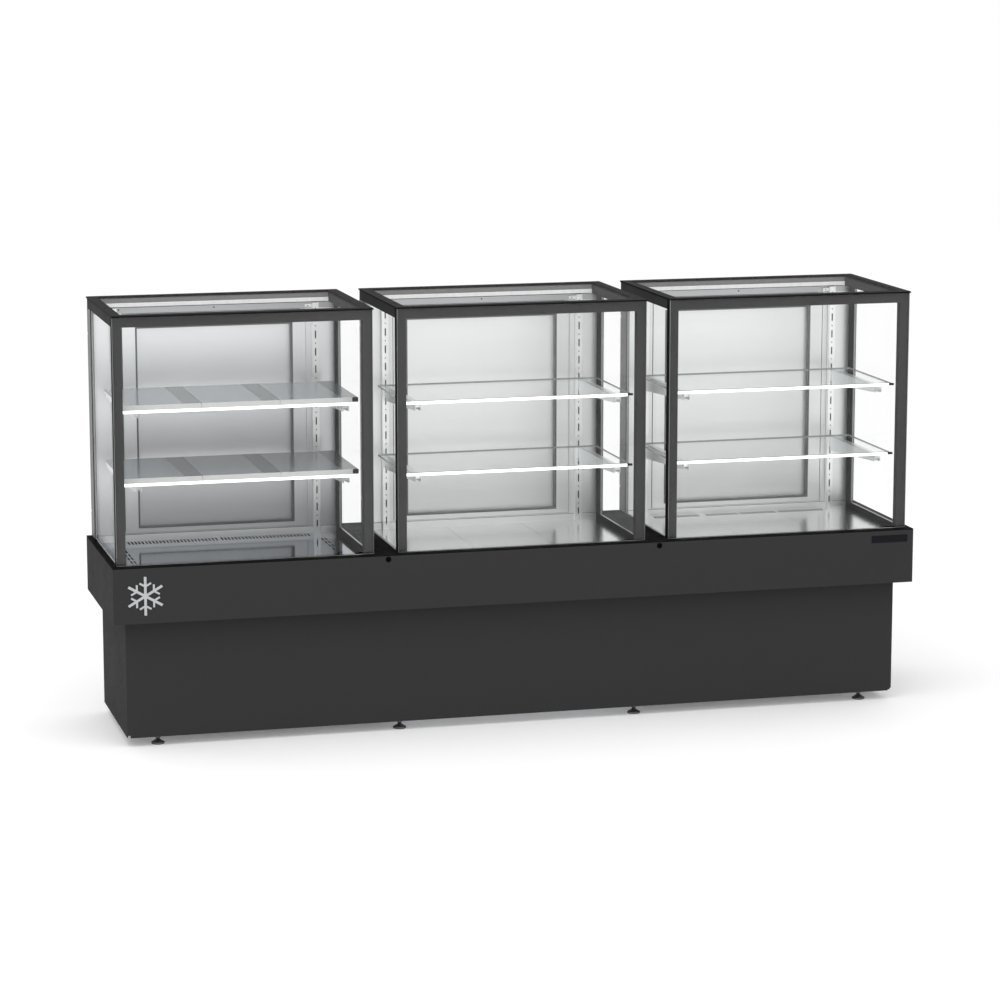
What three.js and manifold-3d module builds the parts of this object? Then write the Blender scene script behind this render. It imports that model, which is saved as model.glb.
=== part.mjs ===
// Three-module counter display case on one charcoal base: a heated, a neutral and a chilled glass
// case stand side by side on a shallow tub, which holds the coils and carries the switches.
// Millimetres, +X along the counter, +Y towards the serving side, +Z up, origin under its middle.

import * as THREE from 'three';
import { mergeVertices } from 'three/addons/utils/BufferGeometryUtils.js';
import Module from 'manifold-3d';

const wasm = await Module();
wasm.setup();

// ---------- driving dimensions ----------
const LENGTH = 2500;
const DEPTH = 546;
const HEIGHT = 1292;
const SHEET = 3; // wall of every folded sheet part
const GAP = 0.3; // air between pieces that touch
const PROUD = 2; // how far badges and door lips stand out of the outline

const SKIRT = { endInset: 42, frontInset: 54.5, rearInset: 15, bottom: 28 };
const TUB_BOTTOM = 385;
const DECK_TOP = 554;
const WELL_FLOOR = 533;

const MODULE = { width: 772, pitch: 847, frontInset: 29 };
const MODULES = [
  { name: 'heated', center: -MODULE.pitch },
  { name: 'neutral', center: 0 },
  { name: 'chilled', center: MODULE.pitch },
];
const GLASS = 6;
const TOP_GLASS = 4.7;
const TOP_OVERHANG = 3;
const SIDE_GLASS_INSET = 2;
const POST = 28;
const RAIL_HEIGHT = 30;
const REAR_POST = { width: 10, front: 208 };
const JAMB_FRONT = 250; // inner face of the serving-side wall
const WELL = { sideInset: 10, front: -230, flange: 2 };
const TRAY = { clearance: 0.5, rearGap: 2, lip: 2 };
const UPRIGHT = { inset: 62, width: 22, front: 234 };

const OPENING = { inset: 100, bottom: 557, top: 1238 };
const LEAF = { inset: 102, bottom: 558, top: 1236, panel: 3 };
const RECESS = { inset: 142, bottom: 572, top: 1196 };
const PIVOT = { fromEdge: 4, radius: 2.5, clearance: 0.5, reach: 8 };
const PULL = { inset: 108, width: 26, bottom: 840, top: 980, depth: 12, lip: 4, lipGap: 1 };

const SHELF = { inset: 33, front: -185, rear: 172, upperTop: 1002, drop: 217 };
const LED_BAR = { height: 12, depth: 8 };
const HEATED_SHELF = { thickness: 24, raise: 18 };
const BRACKET = { inset: 73, thickness: 4, tip: -165, tipHeight: 20, rootHeight: 48 };
const TIE = { rear: 211, depth: 6, height: 10 };

const RAIL = { bottom: 40, top: 70, width: 40, frontY: -184, rearY: 224, halfLength: 1190 };
const PAN_HALF = 360;
const FOOT_X = [-1112, -372, 372, 1112];
const FOOT = { pad: 20, padHeight: 5, neck: 9, stem: 6, neckTop: 11, nut: 9.5, nutBottom: 19, nutTop: 27 };

// ---------- derived places ----------
const END = LENGTH / 2;
const FRONT = -DEPTH / 2;
const REAR = DEPTH / 2;
const DECK_BOTTOM = DECK_TOP - SHEET;
const FRAME_TOP = HEIGHT - TOP_GLASS - GAP;
const RAIL_BOTTOM = FRAME_TOP - RAIL_HEIGHT;
const GLASS_FRONT = FRONT + MODULE.frontInset;
const FRAME_FRONT = GLASS_FRONT + GLASS + GAP;
const SKIRT_X = END - SKIRT.endInset;
const SKIRT_FRONT = FRONT + SKIRT.frontInset;
const SKIRT_REAR = REAR - SKIRT.rearInset;
const TRAY_REAR = JAMB_FRONT - TRAY.rearGap;
const TRAY_LIP = TRAY_REAR - TRAY.lip;

// ---------- finishes ----------
const finish = (color, roughness, metalness) => () =>
  new THREE.MeshStandardMaterial({ color, roughness, metalness });
const charcoal = finish(0x3a3a3a, 0.55, 0.1);
const blackPaint = finish(0x1c1c1c, 0.4, 0.1);
const frameGrey = finish(0x464646, 0.35, 0.3);
const stainless = finish(0xb9bbbb, 0.32, 0.9);
const whiteEnamel = finish(0xeeeeec, 0.4, 0.1);
const zinc = finish(0x9a9c9d, 0.45, 0.8);
const copper = finish(0xb87450, 0.35, 0.9);
const blackPlastic = finish(0x141414, 0.45, 0);
const glassClear = () => new THREE.MeshStandardMaterial({
  color: 0xe8f2ee,
  roughness: 0.03,
  metalness: 0,
  transparent: true,
  opacity: 0.25,
});

// ---------- solids ----------
function toSolid(geometry) {
  const bare = geometry.clone();
  bare.deleteAttribute('normal');
  bare.deleteAttribute('uv');
  const merged = mergeVertices(bare, 1e-4);
  return new wasm.Manifold(new wasm.Mesh({
    numProp: 3,
    vertProperties: new Float32Array(merged.attributes.position.array),
    triVerts: new Uint32Array(merged.index.array),
  }));
}

function toGeometry(solid) {
  const { vertProperties, triVerts } = solid.getMesh();
  const geometry = new THREE.BufferGeometry();
  geometry.setAttribute('position', new THREE.BufferAttribute(new Float32Array(vertProperties), 3));
  geometry.setIndex(new THREE.BufferAttribute(new Uint32Array(triVerts), 1));
  const flat = geometry.toNonIndexed();
  flat.computeVertexNormals();
  return flat;
}

const join = (...pieces) => toGeometry(pieces.map(toSolid).reduce((sum, piece) => sum.add(piece)));
const cut = (base, ...tools) => toGeometry(
  tools.map(toSolid).reduce((rest, tool) => rest.subtract(tool), toSolid(base)),
);

function block([x0, x1], [y0, y1], [z0, z1]) {
  const box = new THREE.BoxGeometry(x1 - x0, y1 - y0, z1 - z0);
  return box.translate((x0 + x1) / 2, (y0 + y1) / 2, (z0 + z1) / 2);
}

// Plate whose outline is given in Y and Z and which is thick along X.
function ribPlate(points, [x0, x1]) {
  const outline = new THREE.Shape(points.map(([y, z]) => new THREE.Vector2(y, z)));
  const plate = new THREE.ExtrudeGeometry(outline, { depth: x1 - x0, bevelEnabled: false });
  const turn = new THREE.Matrix4().makeBasis(
    new THREE.Vector3(0, 1, 0),
    new THREE.Vector3(0, 0, 1),
    new THREE.Vector3(1, 0, 0),
  );
  return plate.applyMatrix4(turn).translate(x0, 0, 0);
}

// Turned piece: profile of radius and height about +Z.
function turned(profile, sides) {
  const lathe = new THREE.LatheGeometry(profile.map(([r, h]) => new THREE.Vector2(r, h)), sides);
  return lathe.rotateX(Math.PI / 2);
}

// Turned piece about +Y, its heights running towards the serving side.
const turnedAlongY = (profile, sides) => turned(profile, sides).rotateX(-Math.PI / 2);

const rod = (radius, [z0, z1], sides = 16) =>
  turned([[0, z0], [radius, z0], [radius, z1], [0, z1]], sides);

const group = new THREE.Group();
function add(name, geometry, material) {
  const mesh = new THREE.Mesh(geometry, material());
  mesh.name = name;
  group.add(mesh);
  return mesh;
}

// Box open at top and bottom, walls one sheet thick.
function sleeve([x0, x1], [y0, y1], z, wall = SHEET) {
  const outside = block([x0, x1], [y0, y1], z);
  const inside = block([x0 + wall, x1 - wall], [y0 + wall, y1 - wall], [z[0] - 1, z[1] + 1]);
  return cut(outside, inside);
}

// ---------- base ----------
const SERVICE = { half: 540, bottom: 70, top: 340, sideLap: 20, endLap: 15, sheet: 2 };
const LOUVRE = { width: 190, height: 9, columns: 4, columnPitch: 250, rows: 8, rowPitch: 29, bottom: 105 };
const NOTCH = { reach: 10, height: 8 };

function baseSkirt() {
  const walls = sleeve([-SKIRT_X, SKIRT_X], [SKIRT_FRONT, SKIRT_REAR], [SKIRT.bottom, TUB_BOTTOM - GAP]);
  const hatch = block(
    [-SERVICE.half, SERVICE.half],
    [SKIRT_REAR - 2 * SHEET, SKIRT_REAR + 1],
    [SERVICE.bottom, SERVICE.top],
  );
  const notches = [-SKIRT_X, SKIRT_X].map((x) => block(
    [x - NOTCH.reach, x + NOTCH.reach],
    [SKIRT_FRONT - NOTCH.reach, SKIRT_FRONT + NOTCH.reach],
    [SKIRT.bottom - 1, SKIRT.bottom + NOTCH.height],
  ));
  return cut(walls, hatch, ...notches);
}

function servicePanel() {
  const half = SERVICE.half + SERVICE.sideLap;
  const plate = block(
    [-half, half],
    [SKIRT_REAR + GAP, SKIRT_REAR + GAP + SERVICE.sheet],
    [SERVICE.bottom - SERVICE.endLap, SERVICE.top + SERVICE.endLap],
  );
  const through = [SKIRT_REAR - 1, SKIRT_REAR + SERVICE.sheet + 2];
  const louvres = [];
  for (let column = 0; column < LOUVRE.columns; column += 1) {
    const x = (column - (LOUVRE.columns - 1) / 2) * LOUVRE.columnPitch - LOUVRE.width / 2;
    for (let row = 0; row < LOUVRE.rows; row += 1) {
      const z = LOUVRE.bottom + row * LOUVRE.rowPitch;
      louvres.push(block([x, x + LOUVRE.width], through, [z, z + LOUVRE.height]));
    }
  }
  return cut(plate, ...louvres);
}

// Long and cross rails are channels open at the top, with a pan for the compressor between them.
function chassis() {
  const z = [RAIL.bottom, RAIL.top];
  const trough = [RAIL.bottom + SHEET, RAIL.top + 1];
  const half = RAIL.width / 2;
  const inner = half - SHEET;
  const outsides = [];
  const hollows = [];
  for (const y of [RAIL.frontY, RAIL.rearY]) {
    outsides.push(block([-RAIL.halfLength, RAIL.halfLength], [y - half, y + half], z));
    const end = RAIL.halfLength - SHEET;
    hollows.push(block([-end, end], [y - inner, y + inner], trough));
  }
  for (const x of FOOT_X) {
    outsides.push(block([x - half, x + half], [RAIL.frontY, RAIL.rearY], z));
    hollows.push(block([x - inner, x + inner], [RAIL.frontY, RAIL.rearY], trough));
  }
  const pan = block([-PAN_HALF, PAN_HALF], [RAIL.frontY, RAIL.rearY], [RAIL.bottom, RAIL.bottom + SHEET]);
  return join(cut(join(...outsides), ...hollows), pan);
}

// Levelling foot from the floor up: pad, cone, threaded stem and lock nut.
function foot() {
  const { pad, padHeight, neck, stem, neckTop, nut, nutBottom, nutTop } = FOOT;
  const top = RAIL.bottom - GAP;
  return turned([
    [0, 0], [pad, 0], [pad, padHeight], [neck, neckTop], [stem, neckTop],
    [stem, nutBottom], [nut, nutBottom], [nut, nutTop], [stem, nutTop], [stem, top], [0, top],
  ], 16);
}

add('base_skirt', baseSkirt(), charcoal);
add('rear_service_panel', servicePanel(), charcoal);
add('chassis_frame', chassis(), zinc);
for (const [row, y] of [['front', RAIL.frontY], ['rear', RAIL.rearY]]) {
  FOOT_X.forEach((x, index) => {
    add(`levelling_foot_${row}_${index + 1}`, foot(), zinc).position.set(x, y, 0);
  });
}

// ---------- tub and deck ----------
const CONTROL = { x: 980, half: 140, bottom: 430, top: 500, lap: 10 };
const DUCTS = [[-1100, -420], [-340, 340], [420, 1100]];
const DUCT_Y = [-150, 190];
const END_HOLE = { y: -174, z: 496, radius: 4.5 };

function tubShell() {
  const z = [TUB_BOTTOM, DECK_BOTTOM - GAP];
  const walls = sleeve([-END, END], [FRONT, REAR], z);
  const bottom = block([-END, END], [FRONT, REAR], [TUB_BOTTOM, TUB_BOTTOM + SHEET]);
  const ducts = DUCTS.map((x) => block(x, DUCT_Y, [TUB_BOTTOM - 1, TUB_BOTTOM + SHEET + 1]));
  const window = block(
    [CONTROL.x - CONTROL.half, CONTROL.x + CONTROL.half],
    [REAR - 2 * SHEET, REAR + 1],
    [CONTROL.bottom, CONTROL.top],
  );
  const endHole = rod(END_HOLE.radius, [-1, SHEET + 1])
    .rotateY(Math.PI / 2)
    .translate(-END, END_HOLE.y, END_HOLE.z);
  return cut(join(walls, bottom), ...ducts, window, endHole);
}

function deckPlate() {
  const plate = block([-END, END], [FRONT, REAR], [DECK_BOTTOM, DECK_TOP]);
  const holes = [];
  const flanges = [];
  for (const { center } of MODULES) {
    const half = MODULE.width / 2 - WELL.sideInset;
    const [x0, x1] = [center - half, center + half];
    const z = [DECK_BOTTOM - 1, DECK_TOP + 1];
    const shoulder = POST - WELL.sideInset;
    holes.push(block([x0, x1], [FRAME_FRONT + POST, JAMB_FRONT], z));
    holes.push(block([x0 + shoulder, x1 - shoulder], [WELL.front, FRAME_FRONT + POST + 1], z));
    const wall = [WELL_FLOOR - SHEET, DECK_BOTTOM + 1];
    const lip = WELL.flange;
    flanges.push(sleeve([x0 - lip, x1 + lip], [WELL.front - lip, JAMB_FRONT + lip], wall, lip));
  }
  return join(cut(plate, ...holes), ...flanges);
}

add('tub_shell', tubShell(), charcoal);
add('deck_plate', deckPlate(), blackPaint);

// ---------- badges ----------
const BADGE = { x: -1155, z: 468, radius: 58, armWidth: 8, twigWidth: 6, twigLength: 20, twigPlace: 29 };
const PLATE = { x: 1171, z: 525.5, width: 118, height: 22, proud: 1.6 };

// Plain six-armed snowflake, two twigs on each arm.
function snowflake() {
  const y = [-PROUD, -GAP];
  const parts = [];
  for (let arm = 0; arm < 6; arm += 1) {
    const turn = (arm * Math.PI) / 3;
    parts.push(block([-BADGE.armWidth / 2, BADGE.armWidth / 2], y, [0, BADGE.radius]).rotateY(turn));
    for (const side of [-1, 1]) {
      const twig = block([-BADGE.twigWidth / 2, BADGE.twigWidth / 2], y, [0, BADGE.twigLength]);
      twig.rotateY((side * Math.PI) / 3).translate(0, 0, BADGE.twigPlace);
      parts.push(twig.rotateY(turn));
    }
  }
  return join(...parts);
}

add('front_badge', snowflake(), stainless).position.set(BADGE.x, FRONT, BADGE.z);
add('blank_name_plate', block(
  [PLATE.x - PLATE.width / 2, PLATE.x + PLATE.width / 2],
  [FRONT - PLATE.proud, FRONT - GAP],
  [PLATE.z - PLATE.height / 2, PLATE.z + PLATE.height / 2],
), blackPaint);

// ---------- controls ----------
const SWITCH = { width: 22, height: 32, ridge: 4, body: 5, tilt: 8, clearance: 1 };
const SWITCHES = [['power_rocker', CONTROL.x - 90], ['light_rocker', CONTROL.x - 40]];
const KNOB = { x: CONTROL.x + 70, radius: 15, topRadius: 14, height: 3.6, pointer: 4.6 };
const SHAFT = { radius: 3, depth: 6, hole: 3.6 };
const CONTROL_Z = (CONTROL.bottom + CONTROL.top) / 2;
const PANEL_SHEET = 2;
const PANEL_REAR = REAR - SHEET - GAP;
const GLAND = {
  x: -1000, z: 120, flange: 17, flangeDepth: 4, nut: 11, nutDepth: 8, tip: 8, length: 12, bore: 4.5,
};

function controlPanel() {
  const plate = block(
    [CONTROL.x - CONTROL.half - CONTROL.lap, CONTROL.x + CONTROL.half + CONTROL.lap],
    [PANEL_REAR - PANEL_SHEET, PANEL_REAR],
    [CONTROL.bottom - CONTROL.lap, CONTROL.top + CONTROL.lap],
  );
  const through = [-PANEL_SHEET - 1, 1];
  const halfWidth = SWITCH.width / 2 + SWITCH.clearance;
  const halfHeight = SWITCH.height / 2 + SWITCH.clearance;
  const holes = SWITCHES.map(([, x]) => block(
    [x - halfWidth, x + halfWidth],
    through.map((y) => PANEL_REAR + y),
    [CONTROL_Z - halfHeight, CONTROL_Z + halfHeight],
  ));
  const shaftHole = rod(SHAFT.hole, through).rotateX(-Math.PI / 2).translate(KNOB.x, PANEL_REAR, CONTROL_Z);
  return cut(plate, ...holes, shaftHole);
}

// A rocker hinged along X: a flat back, and two front faces that meet at a shallow ridge.
function rocker() {
  const half = SWITCH.height / 2;
  const slope = half * Math.tan((SWITCH.tilt * Math.PI) / 180);
  const { body, ridge } = SWITCH;
  const outline = [[-body, -half], [0, -half], [ridge - slope, 0], [0, half], [-body, half]];
  return ribPlate(outline, [-SWITCH.width / 2, SWITCH.width / 2]);
}

function thermostatKnob() {
  const { radius, topRadius, height } = KNOB;
  const lift = 2 * GAP;
  const body = turnedAlongY([
    [0, -SHAFT.depth], [SHAFT.radius, -SHAFT.depth], [SHAFT.radius, lift],
    [radius, lift], [topRadius, height], [0, height],
  ], 24);
  const pointer = block([-1.5, 1.5], [height - lift, KNOB.pointer], [2, topRadius - 1]);
  return join(body, pointer);
}

// Hollow cable nut on a round flange; its bore ends blind at the skirt.
function cableGland() {
  const { flange, flangeDepth, nut, nutDepth, tip, length, bore } = GLAND;
  return turnedAlongY([
    [0, 0], [flange, 0], [flange, flangeDepth], [nut, flangeDepth], [nut, nutDepth],
    [tip, length], [bore, length], [bore, length / 2], [0, length / 2],
  ], 20);
}

add('control_panel', controlPanel(), stainless);
for (const [name, x] of SWITCHES) {
  const button = add(name, rocker(), blackPlastic);
  button.position.set(x, PANEL_REAR, CONTROL_Z);
  button.rotation.x = (-SWITCH.tilt * Math.PI) / 180;
}
add('thermostat_knob', thermostatKnob(), blackPlastic).position.set(KNOB.x, PANEL_REAR, CONTROL_Z);
add('power_cable_gland', cableGland(), blackPlastic).position.set(GLAND.x, SKIRT_REAR + GAP, GLAND.z);

// ---------- cooling and heating parts ----------
const PAN_TOP = RAIL.bottom + SHEET + GAP;
const TUB_FLOOR = TUB_BOTTOM + SHEET;
const COMPRESSOR = { x: -190, y: 20, stubX: 30, stubRadius: 5, stubTop: 190 };
const CONDENSER = { width: 300, height: 250, depth: 44, shroud: 60, fins: 20, x: 180, y: 140, z: PAN_TOP + 30 };
const EVAPORATOR = {
  width: 420, height: 110, depth: 90, shroud: 50, fins: 20, x: MODULE.pitch, y: 60, z: TUB_FLOOR + 10,
};
const SHROUD_WALL = 2;
const MOTOR = { radius: 22, length: 18, barHeight: 24, barDepth: 3 };
const HUB = { radius: 18, depth: 12, standoff: 23 }; // standoff runs from the shroud mouth to the hub
const BLADES = { count: 5, thickness: 2, widthShare: 0.4, pitch: Math.PI / 8 };
const HEATER = { rows: 5, rowPitch: 60, halfLength: 260, front: -120, radius: 4, y: 10, z: 515 };

// Finned block with a square shroud and a motor held by a cross bar in front of it.
function finnedCoil({ width, height, depth, shroud, fins }) {
  const span = [-width / 2, width / 2];
  const comb = [];
  const pitch = width / fins;
  for (let fin = 0; fin < fins; fin += 1) {
    const x = -width / 2 + fin * pitch;
    comb.push(block([x, x + pitch / 2], [0, depth], [0, height]));
  }
  const core = block(span, [depth * 0.3, depth * 0.7], [2 * SHROUD_WALL, height - 2 * SHROUD_WALL]);
  const hood = block(span, [-shroud, 1], [0, height]);
  const air = block(
    [-width / 2 + SHROUD_WALL, width / 2 - SHROUD_WALL],
    [-shroud - 1, 2],
    [SHROUD_WALL, height - SHROUD_WALL],
  );
  const bar = block(
    span,
    [-shroud, -shroud + MOTOR.barDepth],
    [(height - MOTOR.barHeight) / 2, (height + MOTOR.barHeight) / 2],
  );
  const motor = rod(MOTOR.radius, [-shroud, -shroud + MOTOR.length])
    .rotateX(-Math.PI / 2)
    .translate(0, 0, height / 2);
  return join(cut(hood, air), core, ...comb, bar, motor);
}

function fanRotor(radius) {
  const hub = rod(HUB.radius, [0, HUB.depth]).rotateX(-Math.PI / 2);
  const halfWidth = (radius * BLADES.widthShare) / 2;
  const vanes = [];
  for (let blade = 0; blade < BLADES.count; blade += 1) {
    const vane = block([-halfWidth, halfWidth], [-BLADES.thickness / 2, BLADES.thickness / 2], [12, radius]);
    vane.rotateZ(BLADES.pitch).translate(0, HUB.depth / 2, 0);
    vanes.push(vane.rotateY((blade * 2 * Math.PI) / BLADES.count));
  }
  return join(hub, ...vanes);
}

// Welded can on a foot plate, with a terminal box at its side and a pipe stub on top.
function compressor() {
  const can = turned([
    [0, 4], [52, 4], [70, 14], [76, 30], [76, 120], [70, 142], [48, 160], [0, 168],
  ], 24);
  const base = block([-85, 85], [-50, 50], [0, 6]);
  const terminals = block([70, 96], [-22, 22], [50, 100]);
  const stub = rod(COMPRESSOR.stubRadius, [155, COMPRESSOR.stubTop], 10).translate(COMPRESSOR.stubX, 0, 0);
  return join(can, base, terminals, stub);
}

// Rod that runs to and fro along X, one row behind the other.
function heaterRod() {
  const points = [];
  for (let row = 0; row < HEATER.rows; row += 1) {
    const y = HEATER.front + row * HEATER.rowPitch;
    const side = row % 2 === 0 ? 1 : -1;
    for (const share of [-1, 0, 1]) points.push(new THREE.Vector3(share * side * HEATER.halfLength, y, 0));
  }
  const path = new THREE.CatmullRomCurve3(points, false, 'centripetal');
  const section = new THREE.Shape().absarc(0, 0, HEATER.radius, 0, Math.PI * 2);
  return new THREE.ExtrudeGeometry(section, { steps: 56, curveSegments: 4, extrudePath: path });
}

add('compressor', compressor(), blackPaint).position.set(COMPRESSOR.x, COMPRESSOR.y, PAN_TOP);
for (const [name, coil, fanRadius] of [['condenser', CONDENSER, 108], ['evaporator', EVAPORATOR, 46]]) {
  add(`${name}_coil`, finnedCoil(coil), zinc).position.set(coil.x, coil.y, coil.z);
  add(`${name}_fan`, fanRotor(fanRadius), blackPlastic)
    .position.set(coil.x, coil.y - coil.shroud + HUB.standoff, coil.z + coil.height / 2);
}
add('heater_element', heaterRod(), copper).position.set(-MODULE.pitch, HEATER.y, HEATER.z);

// ---------- glass modules ----------
function moduleFrame([x0, x1]) {
  const ring = cut(
    block([x0, x1], [FRAME_FRONT, REAR], [RAIL_BOTTOM, FRAME_TOP]),
    block([x0 + POST, x1 - POST], [FRAME_FRONT + POST, REAR - POST], [RAIL_BOTTOM - 1, FRAME_TOP + 1]),
  );
  const z = [DECK_TOP + GAP, RAIL_BOTTOM + 1];
  const front = [FRAME_FRONT, FRAME_FRONT + POST];
  const rear = [REAR_POST.front, REAR];
  return join(
    ring,
    block([x0, x0 + POST], front, z),
    block([x1 - POST, x1], front, z),
    block([x0, x0 + REAR_POST.width], rear, z),
    block([x1 - REAR_POST.width, x1], rear, z),
  );
}

function rearJamb([x0, x1]) {
  const side = REAR_POST.width + GAP;
  const z = [DECK_TOP + GAP, RAIL_BOTTOM - GAP];
  const wall = block([x0 + side, x1 - side], [JAMB_FRONT, REAR], z);
  const doorway = block(
    [x0 + OPENING.inset, x1 - OPENING.inset],
    [JAMB_FRONT - 1, REAR + 1],
    [OPENING.bottom, OPENING.top],
  );
  const bores = rod(PIVOT.radius + PIVOT.clearance, [DECK_TOP - 5, OPENING.top + PIVOT.reach])
    .translate(...pivotPlace(x1), 0);
  const uprights = [x0 + UPRIGHT.inset, x1 - UPRIGHT.inset - UPRIGHT.width].flatMap((x) => [
    block([x, x + UPRIGHT.width], [UPRIGHT.front, JAMB_FRONT + 1], z),
    block([x, x + UPRIGHT.width], [UPRIGHT.front, TRAY_LIP - GAP], [WELL_FLOOR + GAP, DECK_TOP + 2]),
  ]);
  return join(cut(wall, doorway, bores), ...uprights);
}

const pivotPlace = (x1) => [x1 - LEAF.inset - PIVOT.fromEdge, REAR - PIVOT.fromEdge];

function rearDoor([x0, x1]) {
  const leaf = block([x0 + LEAF.inset, x1 - LEAF.inset], [JAMB_FRONT, REAR], [LEAF.bottom, LEAF.top]);
  const recess = block(
    [x0 + RECESS.inset, x1 - RECESS.inset],
    [JAMB_FRONT - 1, REAR - LEAF.panel],
    [RECESS.bottom, RECESS.top],
  );
  const pull = block(
    [x0 + PULL.inset, x0 + PULL.inset + PULL.width],
    [REAR - PULL.depth, REAR + 1],
    [PULL.bottom, PULL.top],
  );
  const lip = block(
    [x0 + PULL.inset - PULL.lipGap - PULL.lip, x0 + PULL.inset - PULL.lipGap],
    [REAR - 1, REAR + PROUD],
    [PULL.bottom, PULL.top],
  );
  const pins = [[LEAF.bottom - 3, LEAF.bottom + 5], [LEAF.top - 5, LEAF.top + PIVOT.reach - 1]]
    .map((z) => rod(PIVOT.radius, z).translate(...pivotPlace(x1), 0));
  return join(cut(leaf, recess, pull), lip, ...pins);
}

// Floor sheet with a turned-up lip along its rear edge.
function floorTray([x0, x1]) {
  const x = [x0 + WELL.sideInset + TRAY.clearance, x1 - WELL.sideInset - TRAY.clearance];
  return join(
    block(x, [WELL.front + TRAY.clearance, TRAY_REAR], [WELL_FLOOR - SHEET, WELL_FLOOR]),
    block(x, [TRAY_LIP, TRAY_REAR], [WELL_FLOOR - 1, DECK_TOP - GAP]),
  );
}

const shelfWidth = ([x0, x1]) => [x0 + SHELF.inset, x1 - SHELF.inset];

function glassShelf(span, top) {
  const x = shelfWidth(span);
  return join(
    block(x, [SHELF.front, SHELF.rear], [top - GLASS, top]),
    block(x, [SHELF.front - LED_BAR.depth, SHELF.front + 1], [top - LED_BAR.height, top]),
  );
}

function bracketArm(x, top) {
  const root = UPRIGHT.front - GAP;
  return ribPlate([
    [root, top],
    [BRACKET.tip, top],
    [BRACKET.tip, top - BRACKET.tipHeight],
    [root, top - BRACKET.rootHeight],
  ], [x - BRACKET.thickness / 2, x + BRACKET.thickness / 2]);
}

function bracketPair([x0, x1], top) {
  const arms = [x0 + BRACKET.inset, x1 - BRACKET.inset];
  const tie = block(arms, [TIE.rear - TIE.depth, TIE.rear], [top - TIE.height, top]);
  return join(...arms.map((x) => bracketArm(x, top)), tie);
}

function heatedShelf(span, top) {
  const slab = block(shelfWidth(span), [SHELF.front, SHELF.rear], [top - HEATED_SHELF.thickness, top]);
  return join(slab, bracketPair(span, top - HEATED_SHELF.thickness + 1));
}

for (const { name, center } of MODULES) {
  const span = [center - MODULE.width / 2, center + MODULE.width / 2];
  const [x0, x1] = span;
  const sideY = [FRAME_FRONT + POST + GAP, REAR_POST.front - GAP];
  const sideZ = [DECK_TOP + GAP, RAIL_BOTTOM - GAP];
  add(`${name}_frame`, moduleFrame(span), frameGrey);
  add(`${name}_front_glass`, block(
    span,
    [GLASS_FRONT, GLASS_FRONT + GLASS],
    [DECK_TOP + GAP, FRAME_TOP],
  ), glassClear);
  const inset = SIDE_GLASS_INSET;
  add(`${name}_left_glass`, block([x0 + inset, x0 + inset + GLASS], sideY, sideZ), glassClear);
  add(`${name}_right_glass`, block([x1 - inset - GLASS, x1 - inset], sideY, sideZ), glassClear);
  add(`${name}_top_glass`, block(
    [x0 - TOP_OVERHANG, x1 + TOP_OVERHANG],
    [GLASS_FRONT - TOP_OVERHANG, REAR],
    [FRAME_TOP + GAP, HEIGHT],
  ), glassClear);
  add(`${name}_rear_jamb`, rearJamb(span), stainless);
  add(`${name}_rear_door`, rearDoor(span), stainless);
  add(`${name}_floor_tray`, floorTray(span), stainless);
  for (const [level, top] of [['upper', SHELF.upperTop], ['lower', SHELF.upperTop - SHELF.drop]]) {
    if (name === 'heated') {
      add(`${name}_shelf_${level}`, heatedShelf(span, top + HEATED_SHELF.raise), whiteEnamel);
    } else {
      add(`${name}_shelf_${level}`, glassShelf(span, top), glassClear);
      add(`${name}_brackets_${level}`, bracketPair(span, top - LED_BAR.height - GAP), stainless);
    }
  }
}

export default group;
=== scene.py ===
import math

import bmesh
import bpy
from mathutils import Matrix, Vector
from mathutils.geometry import delaunay_2d_cdt


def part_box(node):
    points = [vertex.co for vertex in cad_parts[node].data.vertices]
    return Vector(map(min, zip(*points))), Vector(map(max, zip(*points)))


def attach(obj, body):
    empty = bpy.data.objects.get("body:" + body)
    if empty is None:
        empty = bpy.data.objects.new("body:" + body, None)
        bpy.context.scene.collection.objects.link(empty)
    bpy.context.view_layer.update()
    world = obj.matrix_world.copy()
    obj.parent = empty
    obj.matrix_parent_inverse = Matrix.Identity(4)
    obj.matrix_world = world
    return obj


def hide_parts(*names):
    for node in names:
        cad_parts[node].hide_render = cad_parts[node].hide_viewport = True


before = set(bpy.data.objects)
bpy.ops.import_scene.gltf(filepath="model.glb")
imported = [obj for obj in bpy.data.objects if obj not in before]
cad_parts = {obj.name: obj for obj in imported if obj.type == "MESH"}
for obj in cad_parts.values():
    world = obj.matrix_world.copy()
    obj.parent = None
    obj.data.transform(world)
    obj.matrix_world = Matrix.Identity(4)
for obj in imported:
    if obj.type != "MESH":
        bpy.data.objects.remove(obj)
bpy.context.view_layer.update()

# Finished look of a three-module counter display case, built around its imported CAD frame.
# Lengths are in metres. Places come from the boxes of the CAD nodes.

MM = 0.001
MODULES = ("heated", "neutral", "chilled")
LEVELS = ("upper", "lower")

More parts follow.
